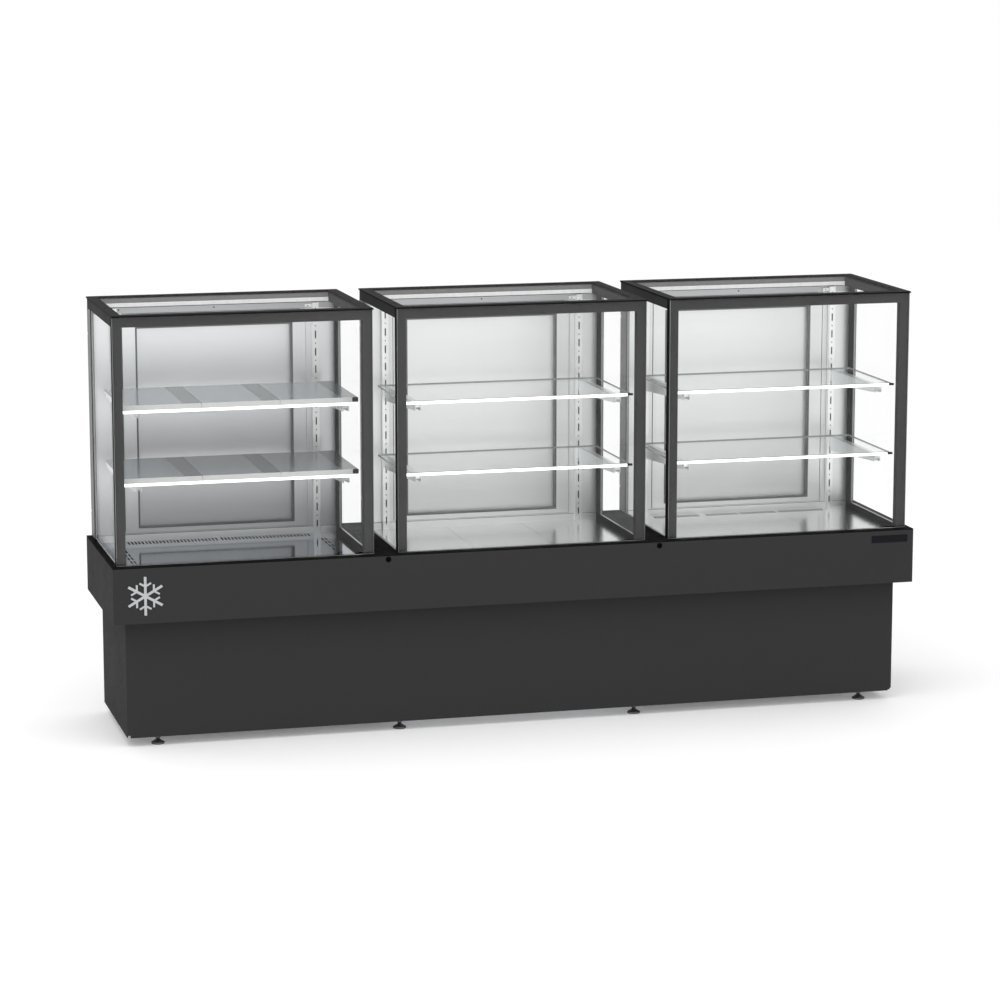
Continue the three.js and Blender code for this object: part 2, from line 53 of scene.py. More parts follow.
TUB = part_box("tub_shell")
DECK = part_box("deck_plate")
FLOOR_SHEET = 3 * MM
POST = 28 * MM
REAR_POST_DEPTH = 65 * MM
UPRIGHT_CENTER = 73 * MM
CAP_HEIGHTS = (633 * MM, 1179 * MM)
END_HOLE = (-174 * MM, 496 * MM)
DOORWAY = {"inset": 100 * MM, "bottom": 557 * MM, "top": 1238 * MM}
LEAF = {"inset": 102 * MM, "bottom": 558 * MM, "top": 1236 * MM, "skin": 3 * MM, "hinge_gap": 14 * MM}
RECESS = {"inset": 142 * MM, "bottom": 572 * MM, "top": 1196 * MM, "border": 5 * MM}
PULL = {"inset": 108 * MM, "width": 26 * MM, "bottom": 840 * MM, "top": 980 * MM}
SHELF = {"inset": 33 * MM, "front": -185 * MM, "rear": 172 * MM, "bracket_tip": -165 * MM}
HEATED_SHELF = {"thickness": 24 * MM, "glass": 4 * MM, "strip": 52 * MM, "light": 8.5 * MM}
LIGHT_BAR = {"depth": 8 * MM, "black_end": 9 * MM}
SLOT = {"pitch": 10.9 * MM, "width": 5.4 * MM, "from_middle": 8.7 * MM, "from_rear": 3.5 * MM,
        "each_side": 26}
SLOT_LENGTH = {"heated": 50 * MM, "neutral": 0, "chilled": 40 * MM}
SIDE_SLOT = {"inset": 62 * MM, "front": 35 * MM, "step": 55 * MM, "length": 42 * MM, "rows": 7}
LOUVRE = {"width": 190 * MM, "height": 9 * MM, "lowest": 105 * MM, "row_pitch": 29 * MM, "rows": 8,
          "column_pitch": 250 * MM}
SHROUD_DEPTH = {"condenser_coil": 60 * MM, "evaporator_coil": 50 * MM}
SKIN = 0.5 * MM
SHARP_ANGLE = math.radians(50)


# ---------- materials ----------
class Finish:
    """A material in the making: one Principled shader and short calls for the nodes that feed it."""

    def __init__(self, name, color, roughness, metallic=0.0, shine=None, tint=None):
        self.material = bpy.data.materials.new(name)
        self.material.use_nodes = True
        self.tree = self.material.node_tree
        self.shader = next(n for n in self.tree.nodes if n.type == "BSDF_PRINCIPLED")
        self.output = next(n for n in self.tree.nodes if n.type == "OUTPUT_MATERIAL")
        self.color = color
        self.set(self.shader, {"Base Color": (*color, 1.0), "Roughness": roughness, "Metallic": metallic})
        if shine is not None:
            self.set(self.shader, {"Specular IOR Level": shine})
        if tint:
            self.set(self.shader, {"Specular Tint": (*tint, 1.0)})
        self.place = self.node("ShaderNodeTexCoord").outputs["Object"]

    @staticmethod
    def set(node, values):
        for socket, value in values.items():
            node.inputs[socket].default_value = value

    def node(self, kind, **settings):
        made = self.tree.nodes.new(kind)
        for key, value in settings.items():
            setattr(made, key, value)
        return made

    def link(self, source, target):
        self.tree.links.new(source, target)

    def noise(self, scale, detail=3.0, stretch=None):
        """Noise in the object's own metres; stretch gives its cells per metre along X, Y and Z."""
        made = self.node("ShaderNodeTexNoise")
        self.set(made, {"Scale": scale, "Detail": detail})
        place = self.place
        if stretch:
            mapping = self.node("ShaderNodeMapping")
            mapping.inputs["Scale"].default_value = stretch
            self.link(place, mapping.inputs["Vector"])
            place = mapping.outputs["Vector"]
        self.link(place, made.inputs["Vector"])
        return made.outputs["Fac"]

    def spread(self, source, low, high, start=0.35, stop=0.65):
        made = self.node("ShaderNodeMapRange")
        self.set(made, {"From Min": start, "From Max": stop, "To Min": low, "To Max": high})
        self.link(source, made.inputs["Value"])
        return made.outputs["Result"]

    def times(self, first, second):
        made = self.node("ShaderNodeMath", operation="MULTIPLY")
        self.link(first, made.inputs[0])
        self.link(second, made.inputs[1])
        return made.outputs[0]

    def tone(self, factor, dark, light):
        """Base colour that runs from dark to light times the finish's own colour."""
        mix = self.node("ShaderNodeMix", data_type="RGBA")
        # the colour sockets of a Mix node share their names with the number sockets
        first, second = [s for s in mix.inputs if s.name in "AB" and s.type == "RGBA"]
        first.default_value = (*[min(1.0, c * dark) for c in self.color], 1.0)
        second.default_value = (*[min(1.0, c * light) for c in self.color], 1.0)
        self.link(factor, mix.inputs["Factor"])
        result = next(s for s in mix.outputs if s.type == "RGBA")
        self.link(result, self.shader.inputs["Base Color"])

    def rough(self, source):
        self.link(source, self.shader.inputs["Roughness"])

    def bump(self, source, strength, distance):
        made = self.node("ShaderNodeBump")
        self.set(made, {"Strength": strength, "Distance": distance})
        self.link(source, made.inputs["Height"])
        self.link(made.outputs["Normal"], self.shader.inputs["Normal"])

    def edge_mask(self, radius):
        """Close to 1 along edges: where a rounded normal leaves the true one."""
        rounded = self.node("ShaderNodeBevel", samples=4)
        rounded.inputs["Radius"].default_value = radius
        true = self.node("ShaderNodeNewGeometry").outputs["True Normal"]
        dot = self.node("ShaderNodeVectorMath", operation="DOT_PRODUCT")
        self.link(rounded.outputs["Normal"], dot.inputs[0])
        self.link(true, dot.inputs[1])
        return self.spread(dot.outputs["Value"], 1.0, 0.0, start=0.75, stop=0.985)


def coat(name, color, roughness, grain=1100.0, relief=0.10, edge_wear_and_highlight=1.35, shine=None):
    """Baked coat with a fine orange peel, slow mottling, faint hand marks, and paler edges that are partly
    worn paint and partly a painted highlight.
    """
    made = Finish(name, color, roughness, shine=shine)
    mottling = made.noise(5.0, detail=5.0)
    marks = made.noise(38.0, detail=6.0)
    made.rough(made.spread(made.times(mottling, marks), roughness - 0.06, roughness + 0.08, 0.15, 0.4))
    # Paler edges: partly worn paint, partly a painted highlight along them.
    worn_and_lit_edges = made.times(made.edge_mask(1.6 * MM), made.spread(marks, 0.35, 1.0))
    made.tone(worn_and_lit_edges, 1.0, edge_wear_and_highlight)
    made.bump(made.noise(grain, detail=2.0), relief, 0.15 * MM)
    return made.material


def brushed(name, color, low, high, along="x", banding=0.06, relief=0.035, height_shading=0.0, tint=None):
    """Metal ground in one direction: long fine streaks, with slow bands across them. A wall can also get
    painted shade and light by height: how much darker than its middle tone it is near the floor, and how much
    lighter near the top."""
    fine = {"x": (5.0, 900.0, 900.0), "z": (900.0, 900.0, 5.0)}[along]
    slow = {"x": (0.6, 7.0, 7.0), "z": (7.0, 7.0, 0.6)}[along]
    made = Finish(name, color, low, metallic=1.0, tint=tint)
    streaks = made.noise(1.0, detail=5.0, stretch=fine)
    bands = made.noise(1.0, detail=3.0, stretch=slow)
    made.rough(made.spread(streaks, low, high))
    shade = made.spread(made.times(streaks, bands), 0.0, 1.0, 0.12, 0.42)
    # Painted shade and light: the tone darkens towards the floor and lightens towards the top of a wall.
    if height_shading:
        height = made.node("ShaderNodeSeparateXYZ")
        made.link(made.place, height.inputs[0])
        mixed = made.node("ShaderNodeMath", operation="MULTIPLY_ADD")
        made.link(shade, mixed.inputs[0])
        mixed.inputs[1].default_value = banding / height_shading
        made.link(made.spread(height.outputs["Z"], 0.0, 1.0 - banding / height_shading, 0.55, 1.15), mixed.inputs[2])
        shade = mixed.outputs[0]
    made.tone(shade, 1.0 - max(banding, height_shading), 1.0 + max(banding, height_shading))
    made.bump(streaks, relief, 0.05 * MM)
    return made.material


def moulded(name, color, roughness, grain=1800.0, relief=0.08, uneven=0.07, shine=None):
    """Plastic or rubber with a spark-eroded grain and an uneven sheen."""
    made = Finish(name, color, roughness, shine=shine)
    patches = made.noise(55.0, detail=4.0)
    made.rough(made.spread(patches, roughness - uneven, roughness + uneven))
    made.tone(made.spread(patches, 0.0, 1.0), 1.0 - uneven, 1.0 + uneven)
    if relief:
        made.bump(made.noise(grain, detail=1.0), relief, 0.08 * MM)
    return made.material


def light_bar(name, color, shade, strength):
    """Milky diffuser over a row of diodes: bright, and a little brighter over each one."""
    made = Finish(name, (shade, shade, shade), 0.35)
    made.set(made.shader, {"Emission Color": (*color, 1.0)})
    dots = made.noise(1.0, detail=1.0, stretch=(70.0, 4.0, 4.0))
    made.link(made.spread(dots, strength * 0.85, strength * 1.15), made.shader.inputs["Emission Strength"])
    made.rough(made.spread(made.noise(300.0), 0.3, 0.45))
    return made.material


def window(name, tint, dust, grazing=0.16):
    """Clear pane: lets light straight through and mirrors more towards grazing angles."""
    made = Finish(name, tint, 0.05)
    clear = made.node("ShaderNodeBsdfTransparent")
    clear.inputs["Color"].default_value = (*tint, 1.0)
    mirror = made.node("ShaderNodeBsdfAnisotropic")
    made.set(mirror, {"Color": (1.0, 1.0, 1.0, 1.0)})
    made.link(made.spread(made.noise(14.0, detail=4.0), 0.0, 0.05), mirror.inputs["Roughness"])
    facing = made.node("ShaderNodeLayerWeight")
    facing.inputs["Blend"].default_value = 0.5
    power = made.node("ShaderNodeMath", operation="POWER")
    power.inputs[1].default_value = 5.0
    made.link(facing.outputs["Facing"], power.inputs[0])
    share = made.spread(power.outputs[0], 0.012, grazing, 0.0, 1.0)
    film = made.node("ShaderNodeMath", operation="MULTIPLY_ADD")
    made.link(made.spread(made.noise(3.0, detail=6.0), 0.0, dust), film.inputs[0])
    film.inputs[1].default_value = 1.0
    made.link(share, film.inputs[2])
    mix = made.node("ShaderNodeMixShader")
    made.link(film.outputs[0], mix.inputs["Fac"])
    made.link(clear.outputs[0], mix.inputs[1])
    made.link(mirror.outputs[0], mix.inputs[2])
    made.tree.nodes.remove(made.shader)
    made.link(mix.outputs[0], made.output.inputs["Surface"])
    return made.material


CHARCOAL = coat("charcoal powder coat", (0.037, 0.037, 0.037), 0.62, shine=0.008)
BLACK_COAT = coat("black deck enamel", (0.008, 0.008, 0.008), 0.50, grain=1500.0, relief=0.05, shine=0.002)
FRAME_COAT = coat("frame coat", (0.041, 0.041, 0.041), 0.55, grain=1500.0, relief=0.05, shine=0.004)
# Grey for the rear post covers is a painted reflection: the glare of the side glass at a grazing angle.
POST_COVER_GLARE_GREY = coat("post cover coat", (0.19, 0.19, 0.19), 0.45, grain=1500.0, relief=0.04, edge_wear_and_highlight=1.1,
                 shine=0.03)
HOUSING_COAT = coat("light housing coat", (0.17, 0.17, 0.17), 0.45, grain=1500.0, relief=0.04, edge_wear_and_highlight=1.1,
                    shine=0.10)
WALL_STEEL = brushed("brushed wall", (0.84, 0.85, 0.85), 0.28, 0.46, relief=0.025)
# The recess panels and the heated module's walls get painted shade near the floor and painted light near the
# top.
PANEL_STEEL = brushed("brushed recess", (0.83, 0.84, 0.84), 0.28, 0.46, banding=0.04, relief=0.02,
                      height_shading=0.11)
# The heated module's wall and recess are darker copies of the same brushed steel: painted shade where its
# solid shelves keep light off.
HOT_WALL_STEEL = brushed("brushed heated wall", (0.77, 0.78, 0.79), 0.30, 0.40, relief=0.01, height_shading=0.26)
HOT_PANEL_STEEL = brushed("brushed heated recess", (0.71, 0.72, 0.73), 0.30, 0.40, banding=0.04, relief=0.008,
                          height_shading=0.34)
SKIN_STEEL = brushed("brushed outer skin", (0.52, 0.53, 0.54), 0.30, 0.48, banding=0.10, relief=0.03)
HEADER_STEEL = brushed("brushed header", (0.50, 0.51, 0.52), 0.28, 0.46)
UPRIGHT_STEEL = brushed("brushed upright", (0.93, 0.94, 0.94), 0.26, 0.40, along="z")
TRAY_STEEL = brushed("polished floor", (0.70, 0.71, 0.71), 0.16, 0.26, banding=0.03, relief=0.012)
MIRROR_STEEL = brushed("mirror floor", (0.36, 0.38, 0.40), 0.05, 0.13, banding=0.03, relief=0.01,
                       tint=(0.75, 0.76, 0.78))
BRACKET_STEEL = brushed("satin bracket", (0.88, 0.89, 0.90), 0.32, 0.45)
ZINC = brushed("zinc plate", (0.62, 0.63, 0.65), 0.25, 0.42, along="z", banding=0.10)
# The feet's steel is a darker copy of the zinc: painted shade for the shadow under the base.
SHADED_FOOT_STEEL = brushed("foot steel in painted shade", (0.17, 0.17, 0.18), 0.30, 0.46, banding=0.10)
FIN_METAL = brushed("fin aluminium", (0.66, 0.67, 0.69), 0.35, 0.50, along="z", banding=0.12)
COPPER = brushed("copper pipe", (0.72, 0.36, 0.22), 0.25, 0.42, banding=0.15)
SHEATH = brushed("heater sheath", (0.42, 0.30, 0.22), 0.38, 0.60, banding=0.25)
BADGE_METAL = brushed("brushed badge", (0.52, 0.53, 0.54), 0.22, 0.42, banding=0.22)
PANEL_METAL = brushed("control panel steel", (0.70, 0.71, 0.72), 0.24, 0.40)
# Dark grey for the recess border is painted shade: the recess sides are darkened by shading and dark
# reflections.
RECESS_SHADE_GREY = coat("door liner profile", (0.13, 0.13, 0.13), 0.40, grain=1500.0, relief=0.04, edge_wear_and_highlight=1.1,
                  shine=0.25)
PLATE_BLACK = moulded("gloss black plate", (0.004, 0.004, 0.007), 0.16, relief=0.02, shine=0.12)
# Black for the real plastic parts, and also painted shade in upright channels and screw recesses.
BLACK_PLASTIC_AND_SHADE = moulded("black plastic and painted shade", (0.012, 0.012, 0.012), 0.42, shine=0.25)
RUBBER = moulded("black rubber", (0.010, 0.010, 0.010), 0.68, grain=900.0)
WHITE_ENAMEL = coat("white enamel", (0.74, 0.75, 0.75), 0.30, grain=900.0, relief=0.04, edge_wear_and_highlight=1.05)
WHITE_CAP = moulded("white plastic cap", (0.80, 0.80, 0.79), 0.35)
COMPRESSOR_BLACK = coat("compressor enamel", (0.008, 0.008, 0.008), 0.25, grain=500.0, relief=0.12)
HOT_GLASS = moulded("grey heated glass", (0.19, 0.21, 0.225), 0.17, relief=0.0, uneven=0.012, shine=0.22)
HOT_GLASS_DARK = moulded("printed band under glass", (0.075, 0.085, 0.092), 0.17, relief=0.0, uneven=0.012,
                         shine=0.18)
PANE = window("clear tempered pane", (0.994, 0.995, 0.994), 0.006)
TOP_PANE = window("clear top pane", (0.99, 0.992, 0.991), 0.004, grazing=0.04)
SHELF_GLASS = window("clear shelf glass", (0.975, 0.980, 0.977), 0.02)
GLASS_EDGE = moulded("polished glass edge", (0.27, 0.29, 0.28), 0.12, relief=0.0, uneven=0.03, shine=0.25)
# Black for the printed glass border, and also painted shade on the front posts' side faces.
BLACK_PRINT_AND_SHADE = moulded("black glass border", (0.010, 0.010, 0.010), 0.30, relief=0.02, uneven=0.03,
                      shine=0.001)
LED_WHITE = light_bar("light bar diffuser", (1.0, 0.99, 0.97), 0.9, 1.5)
LED_SOFT = light_bar("top light diffuser", (1.0, 0.99, 0.97), 0.55, 0.20)
# Black for the real plugs and end blocks, and also painted shade under the floor slots.
BLACK_PLUG_AND_SHADE = moulded("black plug and painted shade", (0.002, 0.002, 0.002), 0.7, relief=0.02, shine=0.02)
WHITE_STRIP = coat("white shelf strip", (0.56, 0.565, 0.56), 0.35, grain=900.0, relief=0.04, edge_wear_and_highlight=1.05,
                   shine=0.2)


# ---------- mesh building ----------
def profile(*points):
    """Points given in millimetres, as metres."""
    return [(a * MM, b * MM) for a, b in points]


def rectangle(x0, x1, y0, y1):
    return [(x0, y0), (x1, y0), (x1, y1), (x0, y1)]


def disc(x, y, radius, sides=16):
    turn = [2 * math.pi * i / sides for i in range(sides)]
    return [(x + radius * math.cos(a), y + radius * math.sin(a)) for a in turn]


def oval(x, y, length, width, along="y", steps=4):
    """Slot with round ends, its long way along x or y."""
    radius = width / 2
    half = length / 2 - radius
    points = []
    for end, start in ((half, -math.pi / 2), (-half, math.pi / 2)):
        for i in range(steps + 1):
            angle = start + math.pi * i / steps
            points.append((end + radius * math.cos(angle), radius * math.sin(angle)))
    if along == "y":
        points = [(-b, a) for a, b in points]
    return [(x + a, y + b) for a, b in points]


def inside(x, y, loop):
    """Whether a point is within a closed loop."""
    found = False
    for (x0, y0), (x1, y1) in zip(loop, loop[1:] + loop[:1]):
        if (y0 > y) != (y1 > y) and x < (x1 - x0) * (y - y0) / (y1 - y0) + x0:
            found = not found
    return found


def pierced_sheet(loops, thickness):
    """Flat sheet in the XY plane, made exact in millimetres: one outline, then its holes."""
    points, edges = [], []
    for loop in loops:
        start, count = len(points), len(loop)
        points += [Vector(point) / MM for point in loop]
        edges += [(start + i, start + (i + 1) % count) for i in range(count)]
    corners, _, faces, *_ = delaunay_2d_cdt(points, edges, [], 1, 1e-5, False)
    holes = [(min(p[0] for p in h), max(p[0] for p in h), h) for h in loops[1:]]
    part = bmesh.new()
    low, high = [[part.verts.new((c.x * MM, c.y * MM, z)) for c in corners]
                 for z in (-thickness / 2, thickness / 2)]
    for face in faces:
        x = sum(corners[i].x for i in face) / len(face) * MM
        y = sum(corners[i].y for i in face) / len(face) * MM
        if not any(x0 < x < x1 and inside(x, y, hole) for x0, x1, hole in holes):
            part.faces.new([low[i] for i in face])
            part.faces.new([high[i] for i in face])
    part.verts.index_update()
    count = len(corners)
    rims = [e for e in part.edges if len(e.link_faces) == 1 and e.verts[0].index < count]
    for a, b in [[v.index for v in e.verts] for e in rims]:
        part.faces.new((low[a], low[b], high[b], high[a]))
    loose = [v for v in part.verts if not v.link_faces]
    bmesh.ops.delete(part, geom=loose, context="VERTS")
    return part


def tube_mesh(points, radius, resolution):
    """Closed round tube along a line of points."""
    curve = bpy.data.curves.new("draft", "CURVE")
    curve.dimensions = "3D"
    curve.bevel_depth = radius
    curve.bevel_resolution = resolution
    curve.use_fill_caps = True
    spline = curve.splines.new("POLY")
    spline.points.add(len(points) - 1)
    for point, place in zip(spline.points, points):
        point.co = (*place, 1.0)
    draft = bpy.data.objects.new("draft", curve)
    bpy.context.scene.collection.objects.link(draft)
    graph = bpy.context.evaluated_depsgraph_get()
    mesh = bpy.data.meshes.new_from_object(draft.evaluated_get(graph))
    bpy.data.objects.remove(draft)
    bpy.data.curves.remove(curve)
    part = bmesh.new()
    part.from_mesh(mesh)
    bpy.data.meshes.remove(mesh)
    bmesh.ops.remove_doubles(part, verts=part.verts, dist=0.01 * MM)
    return part


class Piece:
    """One visible piece: solids gathered into one mesh, each with its own material."""

    def __init__(self):
        self.mesh = bmesh.new()
        self.materials = []

    def index(self, material):
        if material not in self.materials:
            self.materials.append(material)
        return self.materials.index(material)

    def take(self, part, material, rim=None, thin=None):
        """Adds a solid. Faces that don't look along the thin axis take the rim material."""
        bmesh.ops.recalc_face_normals(part, faces=part.faces)
        main = self.index(material)
        side = self.index(rim) if rim else main
        for face in part.faces:
            face.smooth = True
            across = thin is not None and abs(face.normal["xyz".index(thin)]) < 0.9
            face.material_index = side if across else main
        for edge in part.edges:
            if len(edge.link_faces) == 2:
                edge.smooth = edge.calc_face_angle(0.0) < SHARP_ANGLE
        draft = bpy.data.meshes.new("draft")
        part.to_mesh(draft)
        part.free()
        self.mesh.from_mesh(draft)
        bpy.data.meshes.remove(draft)
        return self

    @staticmethod
    def rounded(part, bevel, segments=2):
        if bevel:
            sharp = [e for e in part.edges if e.calc_face_angle(0.0) > SHARP_ANGLE]
            bmesh.ops.bevel(part, geom=sharp, offset=bevel, segments=segments, profile=0.5,
                            affect="EDGES", clamp_overlap=True)
        return part

    def block(self, lo, hi, material, bevel=0.5 * MM, rim=None, thin=None, segments=2):
        lo, hi = Vector(lo), Vector(hi)
        part = bmesh.new()
        size = hi - lo
        place = Matrix.Translation((lo + hi) / 2) @ Matrix.Diagonal((*size, 1.0))
        bmesh.ops.create_cube(part, size=1.0, matrix=place)
        return self.take(self.rounded(part, bevel, segments), material, rim, thin)

    def prism(self, outline, span, material, axis="x", bevel=0.0):
        """Outline in the two other axes, in the order x, y, z, drawn out along one axis."""
        i = "xyz".index(axis)
        part = bmesh.new()
        ends = []
        for level in span:
            corners = []
            for point in outline:
                place = list(point)
                place.insert(i, level)
                corners.append(part.verts.new(place))
            ends.append(corners)
        part.faces.new(ends[0])
        part.faces.new(ends[1])
        for k in range(len(outline)):
            n = (k + 1) % len(outline)
            part.faces.new((ends[0][k], ends[0][n], ends[1][n], ends[1][k]))
        bmesh.ops.recalc_face_normals(part, faces=part.faces)
        return self.take(self.rounded(part, bevel), material)

    def lathe(self, outline, material, origin, axis="z", sides=40, bevel=0.0):
        """Outline of radius and height turned about an axis through the origin point."""
        part = bmesh.new()
        rings = []
        for radius, height in outline:
            count = sides if radius > 0 else 1
            turn = [2 * math.pi * k / count for k in range(count)]
            rings.append([part.verts.new((radius * math.cos(a), radius * math.sin(a), height)) for a in turn])
        for low, high in zip(rings, rings[1:]):
            for k in range(sides):
                corners = [low[k % len(low)], low[(k + 1) % len(low)],
                           high[(k + 1) % len(high)], high[k % len(high)]]
                corners = list(dict.fromkeys(corners))
                if len(corners) > 2:
                    part.faces.new(corners)
        turn = {"x": Matrix.Rotation(math.pi / 2, 4, "Y"), "y": Matrix.Rotation(-math.pi / 2, 4, "X"),
                "z": Matrix.Identity(4)}[axis]
        bmesh.ops.recalc_face_normals(part, faces=part.faces)
        self.rounded(part, bevel)
        bmesh.ops.transform(part, matrix=Matrix.Translation(origin) @ turn, verts=part.verts)
        return self.take(part, material)

    def sheet(self, loops, place, thickness, material, edge=0.0):
        """Sheet whose first loop is the outline and whose other loops are holes, laid by a matrix."""
        part = pierced_sheet(loops, thickness)
        bmesh.ops.recalc_face_normals(part, faces=part.faces)
        self.rounded(part, edge)
        bmesh.ops.transform(part, matrix=place, verts=part.verts)
        return self.take(part, material)

    def tube(self, points, radius, material, resolution=3):
        return self.take(tube_mesh(points, radius, resolution), material)

    def done(self, name, slot, body="case", replaces=()):
        data = bpy.data.meshes.new(name)
        self.mesh.to_mesh(data)
        self.mesh.free()
        for material in self.materials:
            data.materials.append(material)
        made = bpy.data.objects.new(name, data)
        bpy.context.scene.collection.objects.link(made)
        weighted = made.modifiers.new("normals", "WEIGHTED_NORMAL")
        weighted.keep_sharp = True
        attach(made, body)
        if replaces:
            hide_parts(*replaces)
        return made


def upright_plane(y):
    """Matrix that stands a drawing up: its x stays, its y becomes Z, at depth y."""
    return Matrix.Translation((0, y, 0)) @ Matrix.Rotation(math.pi / 2, 4, "X")


def level_plane(z):
    return Matrix.Translation((0, 0, z))


def dress(node, material, bevel=0.8 * MM):
    """Gives a CAD node its finish and softens its edges without touching its mesh."""
    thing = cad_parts[node]
    thing.data.materials.clear()
    thing.data.materials.append(material)
    weld = thing.modifiers.new("weld", "WELD")
    weld.merge_threshold = 0.01 * MM
    flat = thing.modifiers.new("flat faces", "DECIMATE")
    flat.decimate_type = "DISSOLVE"
    flat.angle_limit = math.radians(1)
    soft = thing.modifiers.new("edges", "BEVEL")
    soft.width = bevel
    soft.segments = 2
    soft.limit_method = "ANGLE"
    soft.angle_limit = math.radians(35)
    soft.use_clamp_overlap = True
    normals = thing.modifiers.new("normals", "WEIGHTED_NORMAL")
    normals.keep_sharp = True


def pan_screw(piece, place, axis, out, radius=3.5 * MM, height=1.6 * MM, material=None):
    """Domed screw head with a cross recess. It stands out of a face along an axis, out being 1 or -1."""
    steps = 5
    dome = []
    for k in range(steps):
        angle = math.pi / 2 * k / steps
        dome.append((radius * math.cos(angle), out * height * math.sin(angle)))
    head = [(radius, -out * 0.2 * MM), *dome, (0, out * height)]
    piece.lathe(head, material or ZINC, place, axis, sides=24)
    i = "xyz".index(axis)
    middle = Vector(place)
    middle[i] += out * (height - 0.25 * MM)
    # The cross recess is not cut: a thin black cross on the dome is painted shade for it.
    for arms in ((0.55, 0.14), (0.14, 0.55)):
        half = [radius * share for share in arms]
        half.insert(i, 0.3 * MM)
        piece.block(middle - Vector(half), middle + Vector(half), BLACK_PLASTIC_AND_SHADE, bevel=0.0)


# ---------- base ----------
def build_base():
    dress("base_skirt", CHARCOAL, 1.2 * MM)
    dress("rear_service_panel", CHARCOAL, 0.5 * MM)
    dress("chassis_frame", ZINC, 0.6 * MM)
    lo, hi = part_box("rear_service_panel")
    hoods = Piece()
    inner, outer, sheet = hi.y - 0.2 * MM, hi.y + 6 * MM, 0.8 * MM
    half = LOUVRE["width"] / 2
    for column in (-1.5, -0.5, 0.5, 1.5):
        middle = column * LOUVRE["column_pitch"]
        for row in range(LOUVRE["rows"]):
            low = LOUVRE["lowest"] + row * LOUVRE["row_pitch"] + 1 * MM
            high = low + LOUVRE["height"] + 2 * MM
            outline = [(inner, high), (outer, low), (outer, low - sheet), (outer - sheet, low - sheet),
                       (inner, high - 2 * sheet)]
            hoods.prism(outline, (middle - half, middle + half), CHARCOAL)
    hoods.done("rear_louvre_hoods", "charcoal_coat")
    screws = Piece()
    inset, drop, count = 10 * MM, 7 * MM, 7
    for k in range(count):
        x = lo.x + inset + (hi.x - lo.x - 2 * inset) * k / (count - 1)
        for z in (lo.z + drop, hi.z - drop):
            pan_screw(screws, (x, hi.y, z), "y", 1)
    screws.done("rear_panel_screws", "zinc_steel")


def build_feet():
    for row in ("front", "rear"):
        for index in range(1, 5):
            node = f"levelling_foot_{row}_{index}"
            lo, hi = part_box(node)
            center = (lo + hi) / 2
            origin = Vector((center.x, center.y, lo.z))
            pad = (hi.x - lo.x) / 2
            top = hi.z - lo.z
            piece = Piece()
            piece.lathe([(0, 0), (pad - 1 * MM, 0), (pad - 0.4 * MM, 0.6 * MM), (pad - 0.4 * MM, 2.2 * MM),
                         (0, 2.2 * MM)], RUBBER, origin)
            bell = [(0, 2 * MM), (pad - 0.3 * MM, 2 * MM), (pad, 2.4 * MM), (pad, 4.6 * MM),
                    (pad - 0.8 * MM, 5.4 * MM), (12 * MM, 9 * MM), (9.5 * MM, 11.5 * MM), (0, 11.8 * MM)]
            piece.lathe(bell, SHADED_FOOT_STEEL, origin)
            nut = profile((0, 19), (8.6, 19), (9.5, 19.8), (9.5, 26.2), (8.6, 27), (0, 27))
            piece.lathe(nut, SHADED_FOOT_STEEL, origin, sides=6, bevel=0.3 * MM)
            start, pitch, root, crest = 11 * MM, 1.5 * MM, 5.3 * MM, 6.0 * MM
            thread = [(0, start)]
            z = start
            while z + pitch < top:
                thread += [(root, z), (crest, z + pitch / 2)]
                z += pitch
            piece.lathe(thread + [(root, top), (0, top)], SHADED_FOOT_STEEL, origin, sides=24)
            piece.done(f"foot_{row}_{index}_detail", "zinc_steel", f"foot_{row}_{index}", [node])


# ---------- tub and deck ----------
def build_tub():
    dress("tub_shell", CHARCOAL, 1.2 * MM)
    dress("deck_plate", BLACK_COAT, 0.5 * MM)
    dress("front_badge", BADGE_METAL, 0.4 * MM)
    dress("blank_name_plate", PLATE_BLACK, 0.4 * MM)
    front = TUB[0].y
    plugs = Piece()
    between = (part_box("heated_frame")[1].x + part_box("neutral_frame")[0].x) / 2
    plug = profile((0, 1), (8.5, 1), (8.5, -0.4), (7.6, -1.3), (5, -1.7), (0, -1.8))
    for x in (between, -between):
        plugs.lathe(plug, BLACK_PLUG_AND_SHADE, (x, front, DECK[1].z - 13.5 * MM), axis="y")
    for radius, out in ((4.3 * MM, 0.5 * MM), (2.2 * MM, 0.9 * MM)):
        plugs.lathe([(0, 0), (radius, 0), (radius, -out), (0, -out - 0.3 * MM)], BLACK_PLUG_AND_SHADE,
                    (TUB[0].x + 2.2 * MM, *END_HOLE), axis="x", sides=24)
    plugs.done("apron_plugs", "control_plastic")


# ---------- glass modules ----------
class Bay:
    """Where one glass module stands, read from its CAD nodes."""

    def __init__(self, name):
        self.name = name
        frame_lo, frame_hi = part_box(f"{name}_frame")
        self.left, self.right = frame_lo.x, frame_hi.x
        self.frame_top = frame_hi.z
        self.front, self.rear = frame_lo.y, frame_hi.y
        self.rail_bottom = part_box(f"{name}_left_glass")[1].z
        self.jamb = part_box(f"{name}_rear_jamb")
        self.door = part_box(f"{name}_rear_door")
        self.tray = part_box(f"{name}_floor_tray")
        self.well_floor = self.tray[0].z + FLOOR_SHEET
        self.wall = self.door[0].y
        self.wall_metal, self.panel_metal = WALL_STEEL, PANEL_STEEL
        # The darker steel of the heated module is painted shade from its solid shelves.
        if name == "heated":
            self.wall_metal, self.panel_metal = HOT_WALL_STEEL, HOT_PANEL_STEEL


def pane(bay, side, thin, edge, clear=PANE):
    name = f"{bay.name}_{side}_glass"
    lo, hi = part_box(name)
    piece = Piece().block(lo, hi, clear, bevel=0.5 * MM, rim=edge, thin=thin)
    piece.done(f"{name}_pane", "pane_glass", replaces=[name])


